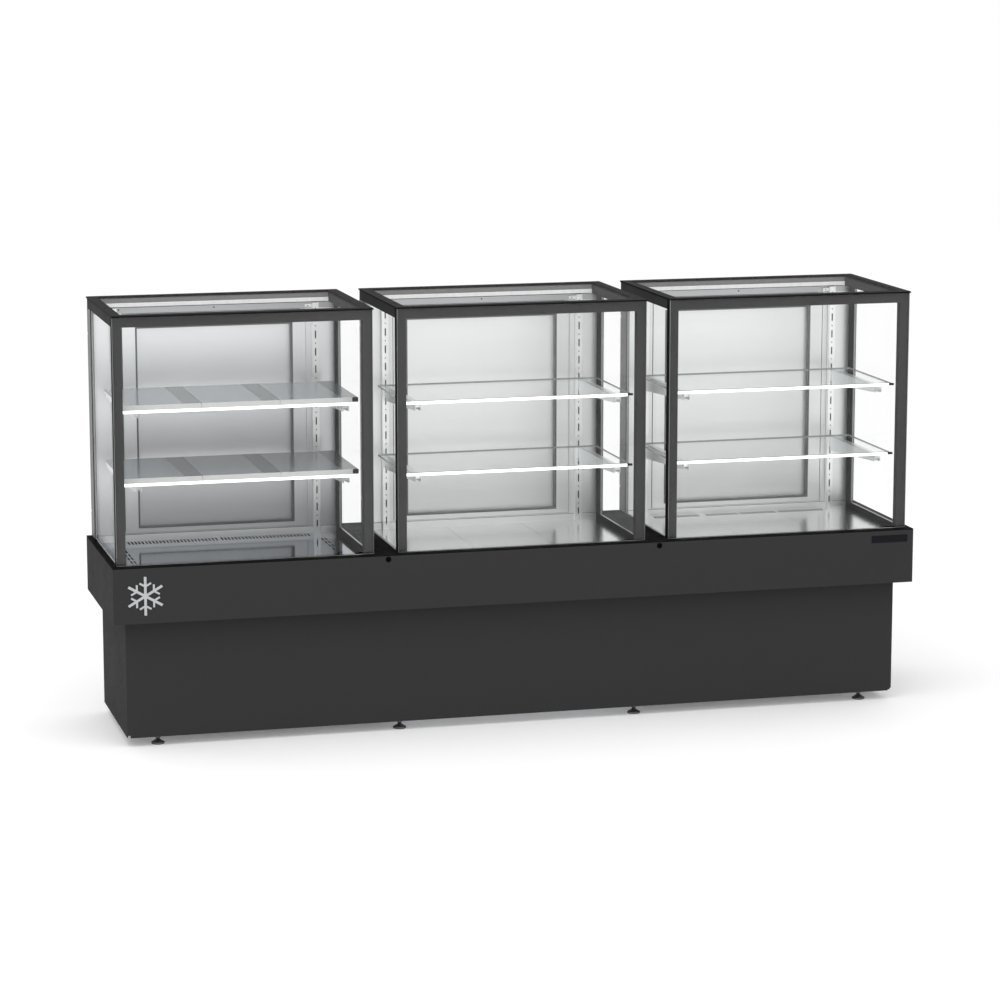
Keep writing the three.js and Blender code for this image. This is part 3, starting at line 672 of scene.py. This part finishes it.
def top_pane(bay):
    """Clear top whose black printed border hides the frame rails under it."""
    name = f"{bay.name}_top_glass"
    lo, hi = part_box(name)
    x0, x1 = bay.left + POST, bay.right - POST
    y0, y1 = bay.front + POST, bay.rear - POST
    border = [rectangle(lo.x, hi.x, lo.y, hi.y), rectangle(x0, x1, y0, y1)]
    piece = Piece().sheet(border, level_plane((lo.z + hi.z) / 2), hi.z - lo.z, BLACK_PRINT_AND_SHADE, edge=0.4 * MM)
    piece.block((x0, y0, lo.z), (x1, y1, hi.z), TOP_PANE, bevel=0)
    piece.done(f"{name}_pane", "pane_glass", replaces=[name])


def build_glass(bay):
    pane(bay, "front", "y", GLASS_EDGE)
    pane(bay, "left", "x", GLASS_EDGE)
    pane(bay, "right", "x", GLASS_EDGE)
    top_pane(bay)


def build_frame(bay):
    dress(f"{bay.name}_frame", FRAME_COAT, 1.0 * MM)
    covers = Piece()
    sheet = 0.6 * MM
    # The grey of these rear post covers is a painted reflection of the side glass seen at a grazing angle.
    for x in (bay.left - sheet, bay.right):
        covers.block((x, bay.rear - REAR_POST_DEPTH + 1 * MM, DECK[1].z + 1 * MM),
                     (x + sheet, bay.rear - 1 * MM, bay.rail_bottom), POST_COVER_GLARE_GREY, bevel=0.2 * MM)
    # A black film on each front post's outer side face is painted shade on that face.
    film = 0.4 * MM
    for x in (bay.left - film, bay.right):
        covers.block((x, bay.front + 0.6 * MM, DECK[1].z + 1 * MM),
                     (x + film, bay.front + POST - 0.6 * MM, bay.frame_top), BLACK_PRINT_AND_SHADE, bevel=0.1 * MM)
    covers.done(f"{bay.name}_post_covers", "frame_coat")
    caps = Piece()
    for x, out in ((bay.left - sheet, -1), (bay.right + sheet, 1)):
        for z in CAP_HEIGHTS:
            cap = profile((0, 0), (4, 0), (4, out * 0.6), (3.2, out * 1.1), (0, out * 1.3))
            caps.lathe(cap, WHITE_CAP, (x, bay.rear - 8 * MM, z), axis="x", sides=24)
    caps.done(f"{bay.name}_post_caps", "frame_coat")


def build_jamb(bay):
    """Folded wall round the rear doorway, with two slotted uprights for the shelf brackets."""
    lo, hi = bay.jamb
    wall = bay.wall
    x0, x1 = bay.left + DOORWAY["inset"], bay.right - DOORWAY["inset"]
    bottom, top = DOORWAY["bottom"], DOORWAY["top"]
    piece = Piece()
    floor = DECK[1].z + 0.3 * MM
    cheeks = [(lo.x, floor), (hi.x, floor), (hi.x, top), (x1, top), (x1, bottom), (x0, bottom), (x0, top),
              (lo.x, top)]
    piece.prism(cheeks, (wall, hi.y), bay.wall_metal, axis="y", bevel=0.4 * MM)
    piece.prism(cheeks, (hi.y, hi.y + SKIN), SKIN_STEEL, axis="y", bevel=0.1 * MM)
    piece.block((lo.x, wall, top), (hi.x, hi.y + SKIN, hi.z), HEADER_STEEL, bevel=0.4 * MM)
    width, sheet = 22 * MM, 1.2 * MM
    pitch, first = 54 * MM, 30 * MM
    foot = bay.well_floor + 0.3 * MM
    for middle in (bay.left + UPRIGHT_CENTER, bay.right - UPRIGHT_CENTER):
        x = middle - width / 2
        holes = []
        z = foot + first
        while z < hi.z - 15 * MM:
            holes.append(oval(middle, z, 25 * MM, 4 * MM, steps=3))
            holes.append(disc(middle, z + pitch / 2, 1.9 * MM, 10))
            z += pitch
        holes = [h for h in holes if max(p[1] for p in h) < hi.z - 4 * MM]
        face = [rectangle(x, x + width, foot, hi.z)] + holes
        piece.sheet(face, upright_plane(lo.y + sheet / 2), sheet, UPRIGHT_STEEL)
        for side in (x, x + width - sheet):
            piece.block((side, lo.y, foot), (side + sheet, wall - 2.3 * MM, hi.z), UPRIGHT_STEEL,
                        bevel=0.2 * MM)
        # A black sheet at the back of each upright's channel is painted shade, seen through its slots.
        piece.block((x + sheet, wall - 3 * MM, foot), (x + width - sheet, wall - 2.4 * MM, hi.z), BLACK_PLASTIC_AND_SHADE,
                    bevel=0)
    piece.done(f"{bay.name}_jamb_folded", "brushed_panel", replaces=[f"{bay.name}_rear_jamb"])

    trim = Piece()
    for part in (0.12, 0.5, 0.88):
        x = bay.left + (bay.right - bay.left) * part
        pan_screw(trim, (x, wall, hi.z - 7 * MM), "y", -1, radius=2.6 * MM, height=1.2 * MM,
                  material=BLACK_PLASTIC_AND_SHADE)
    hinge, hinge_depth = (bay.right - 105 * MM, bay.right - 61 * MM), 12 * MM
    trim.block((hinge[0], wall - hinge_depth, hi.z - 15 * MM), (hinge[1], wall, hi.z - 5 * MM), BRACKET_STEEL,
               bevel=1.2 * MM)
    for part in (0.2, 0.8):
        x = hinge[0] + (hinge[1] - hinge[0]) * part
        pan_screw(trim, (x, wall - hinge_depth, hi.z - 10 * MM), "y", -1, radius=3 * MM, height=1 * MM)
    trim.done(f"{bay.name}_door_hinge_block", "bracket_steel")


def build_door(bay):
    name = f"{bay.name}_rear_door"
    dress(name, bay.wall_metal, 1.0 * MM)
    body = f"{bay.name}_door"
    left, right = bay.left + LEAF["inset"], bay.right - LEAF["inset"]
    bottom, top = LEAF["bottom"], LEAF["top"]
    seal = Piece()
    y0, y1 = bay.wall + 3 * MM, bay.wall + 9 * MM
    thick, sunk, corner = 0.9 * MM, 0.2 * MM, 4 * MM
    seal.block((left - thick, y0, bottom + corner), (left + sunk, y1, top - corner), RUBBER, bevel=0.2 * MM)
    seal.block((left, y0, top - sunk), (right - LEAF["hinge_gap"], y1, top + thick), RUBBER, bevel=0.2 * MM)
    seal.done(f"{body}_seal", "control_plastic", body)

    liner = Piece()
    x0, x1 = bay.left + RECESS["inset"], bay.right - RECESS["inset"]
    z0, z1 = RECESS["bottom"], RECESS["top"]
    wide, lip, sheet = RECESS["border"], 0.4 * MM, 0.6 * MM
    # This grey ring round the recess sides is painted shade.
    ring = [rectangle(x0 - lip, x1 + lip, z0 - lip, z1 + lip),
            rectangle(x0 + wide, x1 - wide, z0 + wide, z1 - wide)]
    near, deep = bay.wall - sheet, bay.rear - LEAF["skin"] - 0.2 * MM
    liner.sheet(ring, upright_plane((near + deep) / 2), deep - near, RECESS_SHADE_GREY, edge=0.6 * MM)
    liner.block((x0, deep - sheet, z0), (x1, deep, z1), bay.panel_metal, bevel=0.1 * MM)
    liner.done(f"{body}_liner", "brushed_panel", body)

    pull = Piece()
    x0, x1 = bay.left + PULL["inset"], bay.left + PULL["inset"] + PULL["width"]
    z0, z1 = PULL["bottom"], PULL["top"]
    hollow = rectangle(x0 + 1.2 * MM, x1 - 1 * MM, z0 + 1 * MM, z1 - 1 * MM)
    rim = [rectangle(x0 - 0.2 * MM, x1 + 4 * MM, z0 - 4 * MM, z1 + 4 * MM), hollow]
    rim_sheet = 0.8 * MM
    pull.sheet(rim, upright_plane(bay.rear + SKIN + rim_sheet / 2), rim_sheet, BRACKET_STEEL, edge=0.2 * MM)
    edge = 1 * MM
    skin = [rectangle(left + edge, right - edge, bottom + edge, top - edge), hollow]
    pull.sheet(skin, upright_plane(bay.rear + SKIN / 2), SKIN, SKIN_STEEL)
    pull.done(f"{body}_pull_rim", "bracket_steel", body)


def build_tray(bay):
    """Floor sheet in its well, with air slots where the module blows or draws air."""
    lo, hi = bay.tray
    name = f"{bay.name}_floor_tray"
    heated = bay.name == "heated"
    metal = MIRROR_STEEL if heated else TRAY_STEEL
    rear = hi.y - 2 * MM
    long, pitch, wide = SLOT_LENGTH[bay.name], SLOT["pitch"], SLOT["width"]
    middle = (lo.x + hi.x) / 2
    slots = []
    for side in (-1, 1):
        for k in range(SLOT["each_side"] if long else 0):
            x = middle + side * (SLOT["from_middle"] + k * pitch)
            slots.append(oval(x, rear - SLOT["from_rear"] - long / 2, long, wide, steps=2))
    if heated:
        near, far = SIDE_SLOT["inset"] - pitch / 2, SIDE_SLOT["inset"] + pitch / 2
        for x in (lo.x + near, lo.x + far, hi.x - near, hi.x - far):
            for k in range(SIDE_SLOT["rows"]):
                y = lo.y + SIDE_SLOT["front"] + k * SIDE_SLOT["step"]
                slots.append(oval(x, y, SIDE_SLOT["length"], wide, steps=2))
    piece = Piece()
    joints = [] if heated else [lo.x + (hi.x - lo.x) * share for share in (0.34, 0.67)]
    edges = [lo.x, *joints, hi.x]
    thin, seam = 0.9 * MM, 0.35 * MM
    for x0, x1 in zip(edges, edges[1:]):
        left, right = x0 + (seam if x0 != lo.x else 0), x1 - (seam if x1 != hi.x else 0)
        own = [slot for slot in slots if left + wide < slot[0][0] < right - wide]
        piece.sheet([rectangle(left, right, lo.y, rear), *own], level_plane(bay.well_floor - thin / 2), thin,
                    metal)
    piece.block((lo.x, rear - 0.2 * MM, lo.z), (hi.x, hi.y, hi.z), WALL_STEEL, bevel=0.4 * MM)
    piece.done(f"{name}_sheet", "tray_steel", replaces=[name])
    # A black sheet under the floor sheet is painted shade, seen through the air slots.
    dark = Piece()
    gap = 1 * MM
    dark.block((lo.x + gap, lo.y + gap, lo.z), (hi.x - gap, rear - gap, lo.z + 0.8 * MM), BLACK_PLUG_AND_SHADE,
               bevel=0)
    dark.done(f"{bay.name}_under_floor_liner", "control_plastic")


def bracket(piece, x, top, root, tip, metal):
    """Folded channel arm whose left cheek, at x, hooks into the upright's slots."""
    wide, sheet = 18 * MM, 1.5 * MM
    tip_height, root_height = 20 * MM, 48 * MM
    outline = [(root, top), (tip, top), (tip, top - tip_height), (tip + 8 * MM, top - tip_height - 1.5 * MM),
               (root, top - root_height)]
    left = x - sheet / 2
    for side in (left, left + wide - sheet):
        piece.prism(outline, (side, side + sheet), metal, bevel=0.3 * MM)
    piece.block((left, tip, top - sheet), (left + wide, root, top), metal, bevel=0.3 * MM)
    web = tip + 6 * MM
    piece.block((left, web, top - tip_height * 0.6), (left + wide, web + sheet, top), metal, bevel=0.3 * MM)
    half = 4 * MM
    for z in (top - 12 * MM, top - 34 * MM):
        piece.block((left, root - 3 * MM, z - half), (left + sheet, root + 5 * MM, z + half), metal,
                    bevel=0.4 * MM)


def bracket_pair(bay, top, name, slot, metal, replaces=()):
    piece = Piece()
    root = bay.jamb[0].y - 0.3 * MM
    for x in (bay.left + UPRIGHT_CENTER, bay.right - UPRIGHT_CENTER):
        bracket(piece, x, top, root, SHELF["bracket_tip"], metal)
    piece.done(name, slot, replaces=replaces)


def build_glass_shelf(bay, level):
    node = f"{bay.name}_shelf_{level}"
    lo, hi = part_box(node)
    glass = 6 * MM
    front = lo.y + LIGHT_BAR["depth"]
    piece = Piece()
    piece.block((lo.x, front, hi.z - glass), (hi.x, hi.y, hi.z), SHELF_GLASS, bevel=0.6 * MM, rim=GLASS_EDGE,
                thin="z")
    piece.done(f"{node}_pane", "shelf_glass", replaces=[node])
    light = Piece()
    low, high = lo.z + 2.2 * MM, hi.z - 1.4 * MM
    end = hi.x - LIGHT_BAR["black_end"]
    light.block((lo.x, lo.y, low), (end, lo.y + 3 * MM, high), LED_WHITE, bevel=1.2 * MM, segments=3)
    near, ledge, cap = lo.y + 2.4 * MM, hi.z - glass - 0.2 * MM, 2 * MM
    channel = [(near, low), (front, low), (front, ledge), (front - 1 * MM, ledge), (front - 1 * MM, high),
               (near, high)]
    light.prism(channel, (lo.x, end), WHITE_CAP, bevel=0.2 * MM)
    for x0, x1 in ((lo.x - cap, lo.x), (end - cap, end)):
        light.block((x0, lo.y, low), (x1, front, high), WHITE_CAP, bevel=0.6 * MM)
    light.block((end, lo.y + 0.5 * MM, high - 6.4 * MM), (hi.x + 7.5 * MM, front - 0.2 * MM, high),
                BLACK_PLUG_AND_SHADE, bevel=0.8 * MM)
    light.done(f"{node}_light_bar", "shelf_glass")
    brackets = f"{bay.name}_brackets_{level}"
    bracket_pair(bay, lo.z - 0.3 * MM, f"{brackets}_folded", "bracket_steel", BRACKET_STEEL, [brackets])


def build_heated_shelf(bay, level):
    node = f"{bay.name}_shelf_{level}"
    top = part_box(node)[1].z
    x0, x1 = bay.left + SHELF["inset"], bay.right - SHELF["inset"]
    front, rear = SHELF["front"], SHELF["rear"]
    bottom, under = top - HEATED_SHELF["thickness"], top - HEATED_SHELF["glass"]
    piece = Piece()
    piece.block((x0 + 1 * MM, front + 4 * MM, bottom), (x1 - 1 * MM, rear, under), WHITE_ENAMEL,
                bevel=1.5 * MM)
    third, seam = (x1 - x0) / 3, 0.5 * MM
    glass_front, strip_rear = front + 3 * MM, front + 4.5 * MM
    split = bottom + HEATED_SHELF["light"]
    for k in range(3):
        left = x0 + k * third + (seam if k else 0)
        right = x0 + (k + 1) * third - (seam if k < 2 else 0)
        band = right - HEATED_SHELF["strip"]
        piece.block((left, glass_front, under), (band, rear, top), HOT_GLASS, bevel=0.3 * MM)
        piece.block((band, glass_front, under), (right, rear, top), HOT_GLASS_DARK, bevel=0.3 * MM)
        piece.block((left, front, split), (right, strip_rear, top - 0.2 * MM), WHITE_STRIP, bevel=0.8 * MM)
        piece.block((left, front + 0.5 * MM, bottom), (right, strip_rear, split - 0.4 * MM), LED_WHITE,
                    bevel=1.0 * MM)
    piece.block((x1 - 18 * MM, front - 1 * MM, bottom + 10 * MM),
                (x1 + 1.5 * MM, front + 10 * MM, top + 0.2 * MM), BLACK_PLASTIC_AND_SHADE, bevel=3 * MM, segments=4)
    piece.done(f"{node}_housing", "heated_shelf_white", replaces=[node])
    bracket_pair(bay, bottom, f"{node}_brackets", "bracket_steel", WHITE_ENAMEL)


def build_top_light(bay):
    """Light bar and its housing along the inside of the rear top rail."""
    x0, x1 = bay.left + POST + 2 * MM, bay.right - POST - 2 * MM
    y = bay.rear - POST - 0.1 * MM
    low, high = bay.rail_bottom + 2.5 * MM, bay.frame_top - 1.5 * MM
    cap, proud = 6 * MM, 0.5 * MM
    split = low + 12 * MM
    piece = Piece()
    piece.block((x0, y - 1.1 * MM, split), (x1, y, high), HOUSING_COAT, bevel=0.3 * MM)
    piece.block((x0 + cap, y - 5.9 * MM, low), (x1 - cap, y, split), LED_SOFT, bevel=1.5 * MM, segments=3)
    for x in (x0, x1 - cap):
        piece.block((x, y - 6.4 * MM, low - proud), (x + cap, y, split + proud), WHITE_CAP, bevel=0.8 * MM)
    piece.done(f"{bay.name}_top_light_bar", "frame_coat")


# ---------- controls ----------
def build_controls():
    panel_lo, panel_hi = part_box("control_panel")
    dress("control_panel", PANEL_METAL, 0.4 * MM)
    for node in ("power_rocker", "light_rocker"):
        dress(node, BLACK_PLASTIC_AND_SHADE, 0.5 * MM)
        rocker_bezel(node, panel_hi.y)
    lo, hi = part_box("thermostat_knob")
    middle = Vector(((lo.x + hi.x) / 2, panel_hi.y, (lo.z + hi.z) / 2))
    radius = (hi.x - lo.x) / 2
    thermostat_knob(middle, radius)
    thermostat_scale(middle, radius)
    pilot_lamp(Vector((panel_lo.x + 25 * MM, panel_hi.y, middle.z)))
    gland()


def rocker_bezel(node, panel):
    lo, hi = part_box(node)
    x, z = (lo.x + hi.x) / 2, (lo.z + hi.z) / 2
    ring = [rectangle(x - half_width, x + half_width, z - half_height, z + half_height)
            for half_width, half_height in ((14.5 * MM, 19.5 * MM), (11.7 * MM, 17 * MM))]
    sheet = 1.8 * MM
    bezel = Piece().sheet(ring, upright_plane(panel + sheet / 2), sheet, BLACK_PLASTIC_AND_SHADE, edge=0.4 * MM)
    bezel.done(f"{node}_bezel", "control_plastic")


def thermostat_knob(middle, radius):
    """Ribbed knob on the panel, with a white pointer at its top."""
    turned = [(0, -6 * MM), (3 * MM, -6 * MM), (3 * MM, 0.6 * MM), (radius, 0.6 * MM), (radius, 1.4 * MM),
              (radius - 1.2 * MM, 3.2 * MM), (radius - 2.2 * MM, 3.8 * MM), (0, 4.0 * MM)]
    knob = Piece().lathe(turned, BLACK_PLASTIC_AND_SHADE, middle, axis="y", sides=72)
    half = 0.8 * MM
    knob.block(middle + Vector((-half, 3.6 * MM, 3 * MM)), middle + Vector((half, 4.4 * MM, radius - 2 * MM)),
               WHITE_CAP, bevel=0.2 * MM)
    rib = profile((0, 0), (0.9, 0), (0.9, 1.2), (0.5, 2.0), (0, 2.1))
    ribs, ring = 24, radius - 0.9 * MM
    for k in range(ribs):
        angle = 2 * math.pi * k / ribs
        place = middle + Vector((ring * math.cos(angle), 0.8 * MM, ring * math.sin(angle)))
        knob.lathe(rib, BLACK_PLASTIC_AND_SHADE, place, axis="y", sides=8)
    knob.done("thermostat_knob_ribbed", "control_plastic", "thermostat_dial", ["thermostat_knob"])


def thermostat_scale(middle, radius):
    """Ticks of three printed dots each, over the knob's 270 degrees."""
    dot = profile((0, 0), (0.7, 0), (0.6, 0.25), (0, 0.3))
    dial = Piece()
    ticks, start, sweep = 10, -45, 270
    for k in range(ticks):
        angle = math.radians(start + sweep * k / (ticks - 1))
        for step in range(3):
            r = radius + (3 + 1.1 * step) * MM
            place = middle + Vector((r * math.cos(angle), 0, r * math.sin(angle)))
            dial.lathe(dot, BLACK_PLASTIC_AND_SHADE, place, axis="y", sides=10)
    dial.done("thermostat_scale", "control_plastic")


def pilot_lamp(place):
    rim = profile((0, 0), (4.5, 0), (4.5, 1.2), (3.4, 1.8), (0, 1.8))
    lens = profile((0, 1.6), (3, 1.6), (2.6, 2.6), (0, 3.0))
    lamp = Piece().lathe(rim, BRACKET_STEEL, place, axis="y", sides=28)
    lamp.lathe(lens, LED_SOFT, place, axis="y", sides=28)
    lamp.done("control_pilot_lamp", "control_plastic")


def gland():
    lo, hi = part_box("power_cable_gland")
    origin = Vector(((lo.x + hi.x) / 2, lo.y, (lo.z + hi.z) / 2))
    piece = Piece()
    nut = profile((0, 0), (16.4, 0), (17, 0.6), (17, 3.4), (16.2, 4), (0, 4))
    piece.lathe(nut, BLACK_PLASTIC_AND_SHADE, origin, axis="y", sides=6, bevel=0.4 * MM)
    bore, ridge, groove = 4.5, 11, 10.4
    ridges = [(r, start + 1.2 * k) for k in range(3) for r, start in ((ridge, 4.4), (groove, 5.0))]
    dome = profile((bore, 6), (ridge, 3.8), *ridges, (8, 11.6), (7.2, 12), (5, 12), (bore, 11.4), (bore, 6))
    piece.lathe(dome, BLACK_PLASTIC_AND_SHADE, origin, axis="y", sides=40)
    piece.done("cable_gland_ribbed", "control_plastic", replaces=["power_cable_gland"])


# ---------- works inside the base ----------
def build_compressor():
    """Welded can with a seam round its middle, on a base plate with four screws."""
    lo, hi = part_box("compressor")
    base_length, base_half = 170 * MM, 50 * MM
    origin = Vector((lo.x + base_length / 2, (lo.y + hi.y) / 2, lo.z))
    wall, seam = 75, 76
    can = profile((0, 5), (50, 5), (64, 9), (72, 18), (wall, 32), (wall, 84), (seam, 85), (seam, 89),
                  (wall, 90), (wall, 118), (72, 134), (62, 149), (46, 160), (24, 166), (0, 168))
    piece = Piece()
    piece.lathe(can, COMPRESSOR_BLACK, origin, sides=64)
    piece.block((lo.x, origin.y - base_half, lo.z), (lo.x + base_length, origin.y + base_half, lo.z + 6 * MM),
                COMPRESSOR_BLACK, bevel=1.5 * MM)
    for dx in (-72 * MM, 72 * MM):
        for dy in (-38 * MM, 38 * MM):
            place = origin + Vector((dx, dy, 6 * MM))
            pan_screw(piece, place, "z", 1, radius=6 * MM, height=4 * MM)
    cover = 22 * MM
    piece.block((origin.x + 68 * MM, origin.y - cover, lo.z + 50 * MM),
                (hi.x, origin.y + cover, lo.z + 100 * MM), BLACK_PLASTIC_AND_SHADE, bevel=4 * MM, segments=3)
    pipe = origin.x + 30 * MM
    piece.tube([(pipe, origin.y, lo.z + 158 * MM), (pipe, origin.y, hi.z - 1 * MM)], 5 * MM, COPPER, 5)
    piece.done("compressor_can", "compressor_coat", replaces=["compressor"])


def rotor(node, body, blades):
    """Fan with swept, twisted blades on a domed hub."""
    lo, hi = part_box(node)
    middle = (lo + hi) / 2
    radius = (hi.z - lo.z) / 2 * 0.985
    hub, deep = 18 * MM, 12 * MM
    back = middle.y - 6 * MM
    piece = Piece()
    dome = [(0, 0), (hub - 1 * MM, 0), (hub, 1 * MM), (hub, deep - 3 * MM), (hub - 3 * MM, deep - 0.6 * MM),
            (0, deep)]
    piece.lathe(dome, BLACK_PLASTIC_AND_SHADE, (middle.x, back, middle.z), axis="y", sides=40)
    rows, columns, thick = 7, 6, 1.4 * MM
    for blade in range(blades):
        base = 2 * math.pi * blade / blades
        part = bmesh.new()
        grids = []
        for face in (-0.5, 0.5):
            grid = []
            for i in range(rows):
                share = i / (rows - 1)
                r = hub * 0.9 + (radius - hub * 0.9) * share
                spread = math.radians(24 + 12 * share)
                pitch = math.radians(34 - 16 * share)
                line = []
                for j in range(columns):
                    along = j / (columns - 1) - 0.5
                    angle = base + along * spread + 0.35 * share
                    y = middle.y + along * spread * r * math.tan(pitch) * 0.55 + face * thick
                    y = min(max(y, lo.y + 0.2 * MM), hi.y - 0.2 * MM)
                    x, z = middle.x + r * math.cos(angle), middle.z + r * math.sin(angle)
                    line.append(part.verts.new((x, y, z)))
                grid.append(line)
            grids.append(grid)
        front, rear = grids
        for i in range(rows - 1):
            for j in range(columns - 1):
                for grid in grids:
                    part.faces.new((grid[i][j], grid[i + 1][j], grid[i + 1][j + 1], grid[i][j + 1]))
        rim = [(i, 0) for i in range(rows)] + [(rows - 1, j) for j in range(1, columns)]
        rim += [(i, columns - 1) for i in range(rows - 2, -1, -1)]
        rim += [(0, j) for j in range(columns - 2, 0, -1)]
        for (a, b), (c, d) in zip(rim, rim[1:] + rim[:1]):
            part.faces.new((front[a][b], front[c][d], rear[c][d], rear[a][b]))
        piece.take(part, BLACK_PLASTIC_AND_SHADE)
    piece.done(f"{node}_swept", "fan_plastic", body, [node])


def coil_bends(node, rows):
    """Copper return bends at both ends of a finned coil."""
    lo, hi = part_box(node)
    y = (lo.y + SHROUD_DEPTH[node] + hi.y) / 2
    piece = Piece()
    pitch = (hi.z - lo.z) / (rows + 1)
    for x, out in ((lo.x, -1), (hi.x, 1)):
        for k in range(0, rows - 1, 2):
            z = lo.z + pitch * (k + 1)
            bend = [(x + out * (2 + 12 * math.sin(a)) * MM, y, z + pitch / 2 - math.cos(a) * pitch / 2)
                    for a in (math.pi * i / 10 for i in range(11))]
            piece.tube(bend, 3.5 * MM, COPPER)
    piece.done(f"{node}_bends", "coil_fins")


def build_works():
    build_compressor()
    for unit, rows in (("condenser", 8), ("evaporator", 5)):
        dress(f"{unit}_coil", FIN_METAL, 0.2 * MM)
        coil_bends(f"{unit}_coil", rows)
        rotor(f"{unit}_fan", f"{unit}_rotor", blades=5)
    dress("heater_element", SHEATH, 0.2 * MM)


# ---------- stage ----------
def build_stage():
    size = 14.0
    data = bpy.data.meshes.new("studio floor")
    part = bmesh.new()
    bmesh.ops.create_grid(part, x_segments=8, y_segments=8, size=size)
    part.to_mesh(data)
    part.free()
    ground = bpy.data.objects.new("studio_floor", data)
    bpy.context.scene.collection.objects.link(ground)
    white = Finish("studio floor", (0.86, 0.86, 0.86), 0.75)
    white.set(white.shader, {"Emission Color": (1.0, 1.0, 1.0, 1.0), "Emission Strength": 0.16,
                             "Specular IOR Level": 0.1})
    white.rough(white.spread(white.noise(6.0), 0.7, 0.8))
    data.materials.append(white.material)

    world = bpy.data.worlds.new("studio")
    bpy.context.scene.world = world
    world.use_nodes = True
    sky = next(n for n in world.node_tree.nodes if n.type == "BACKGROUND")
    sky.inputs["Color"].default_value = (1.0, 1.0, 1.0, 1.0)
    sky.inputs["Strength"].default_value = 1.0
    bpy.context.scene.view_settings.view_transform = "Standard"
    bpy.context.scene.cycles.transparent_max_bounces = 48

    lamp = bpy.data.lights.new("overhead softbox", "AREA")
    lamp.shape = "RECTANGLE"
    lamp.size, lamp.size_y = 4.5, 2.5
    lamp.energy = 45
    softbox = bpy.data.objects.new("overhead_softbox", lamp)
    softbox.location = (-1.0, -1.6, 3.6)
    softbox.rotation_euler = (Vector((0, 0, 0.6)) - softbox.location).to_track_quat("-Z", "Y").to_euler()
    bpy.context.scene.collection.objects.link(softbox)


def build_camera():
    data = bpy.data.cameras.new("camera")
    data.sensor_width = 36.0
    data.lens = 120.418
    data.clip_end = 100.0
    camera = bpy.data.objects.new("camera", data)
    camera.location = (-2.61569, -9.81917, 2.47095)
    camera.rotation_euler = (math.radians(90 - 10.137), 0.0, math.radians(-14.878))
    bpy.context.scene.collection.objects.link(camera)
    bpy.context.scene.camera = camera


build_base()
build_feet()
build_tub()
for module in MODULES:
    bay = Bay(module)
    build_frame(bay)
    build_glass(bay)
    build_jamb(bay)
    build_door(bay)
    build_tray(bay)
    build_top_light(bay)
    for level in LEVELS:
        if module == "heated":
            build_heated_shelf(bay, level)
        else:
            build_glass_shelf(bay, level)
build_controls()
build_works()
build_stage()
build_camera()
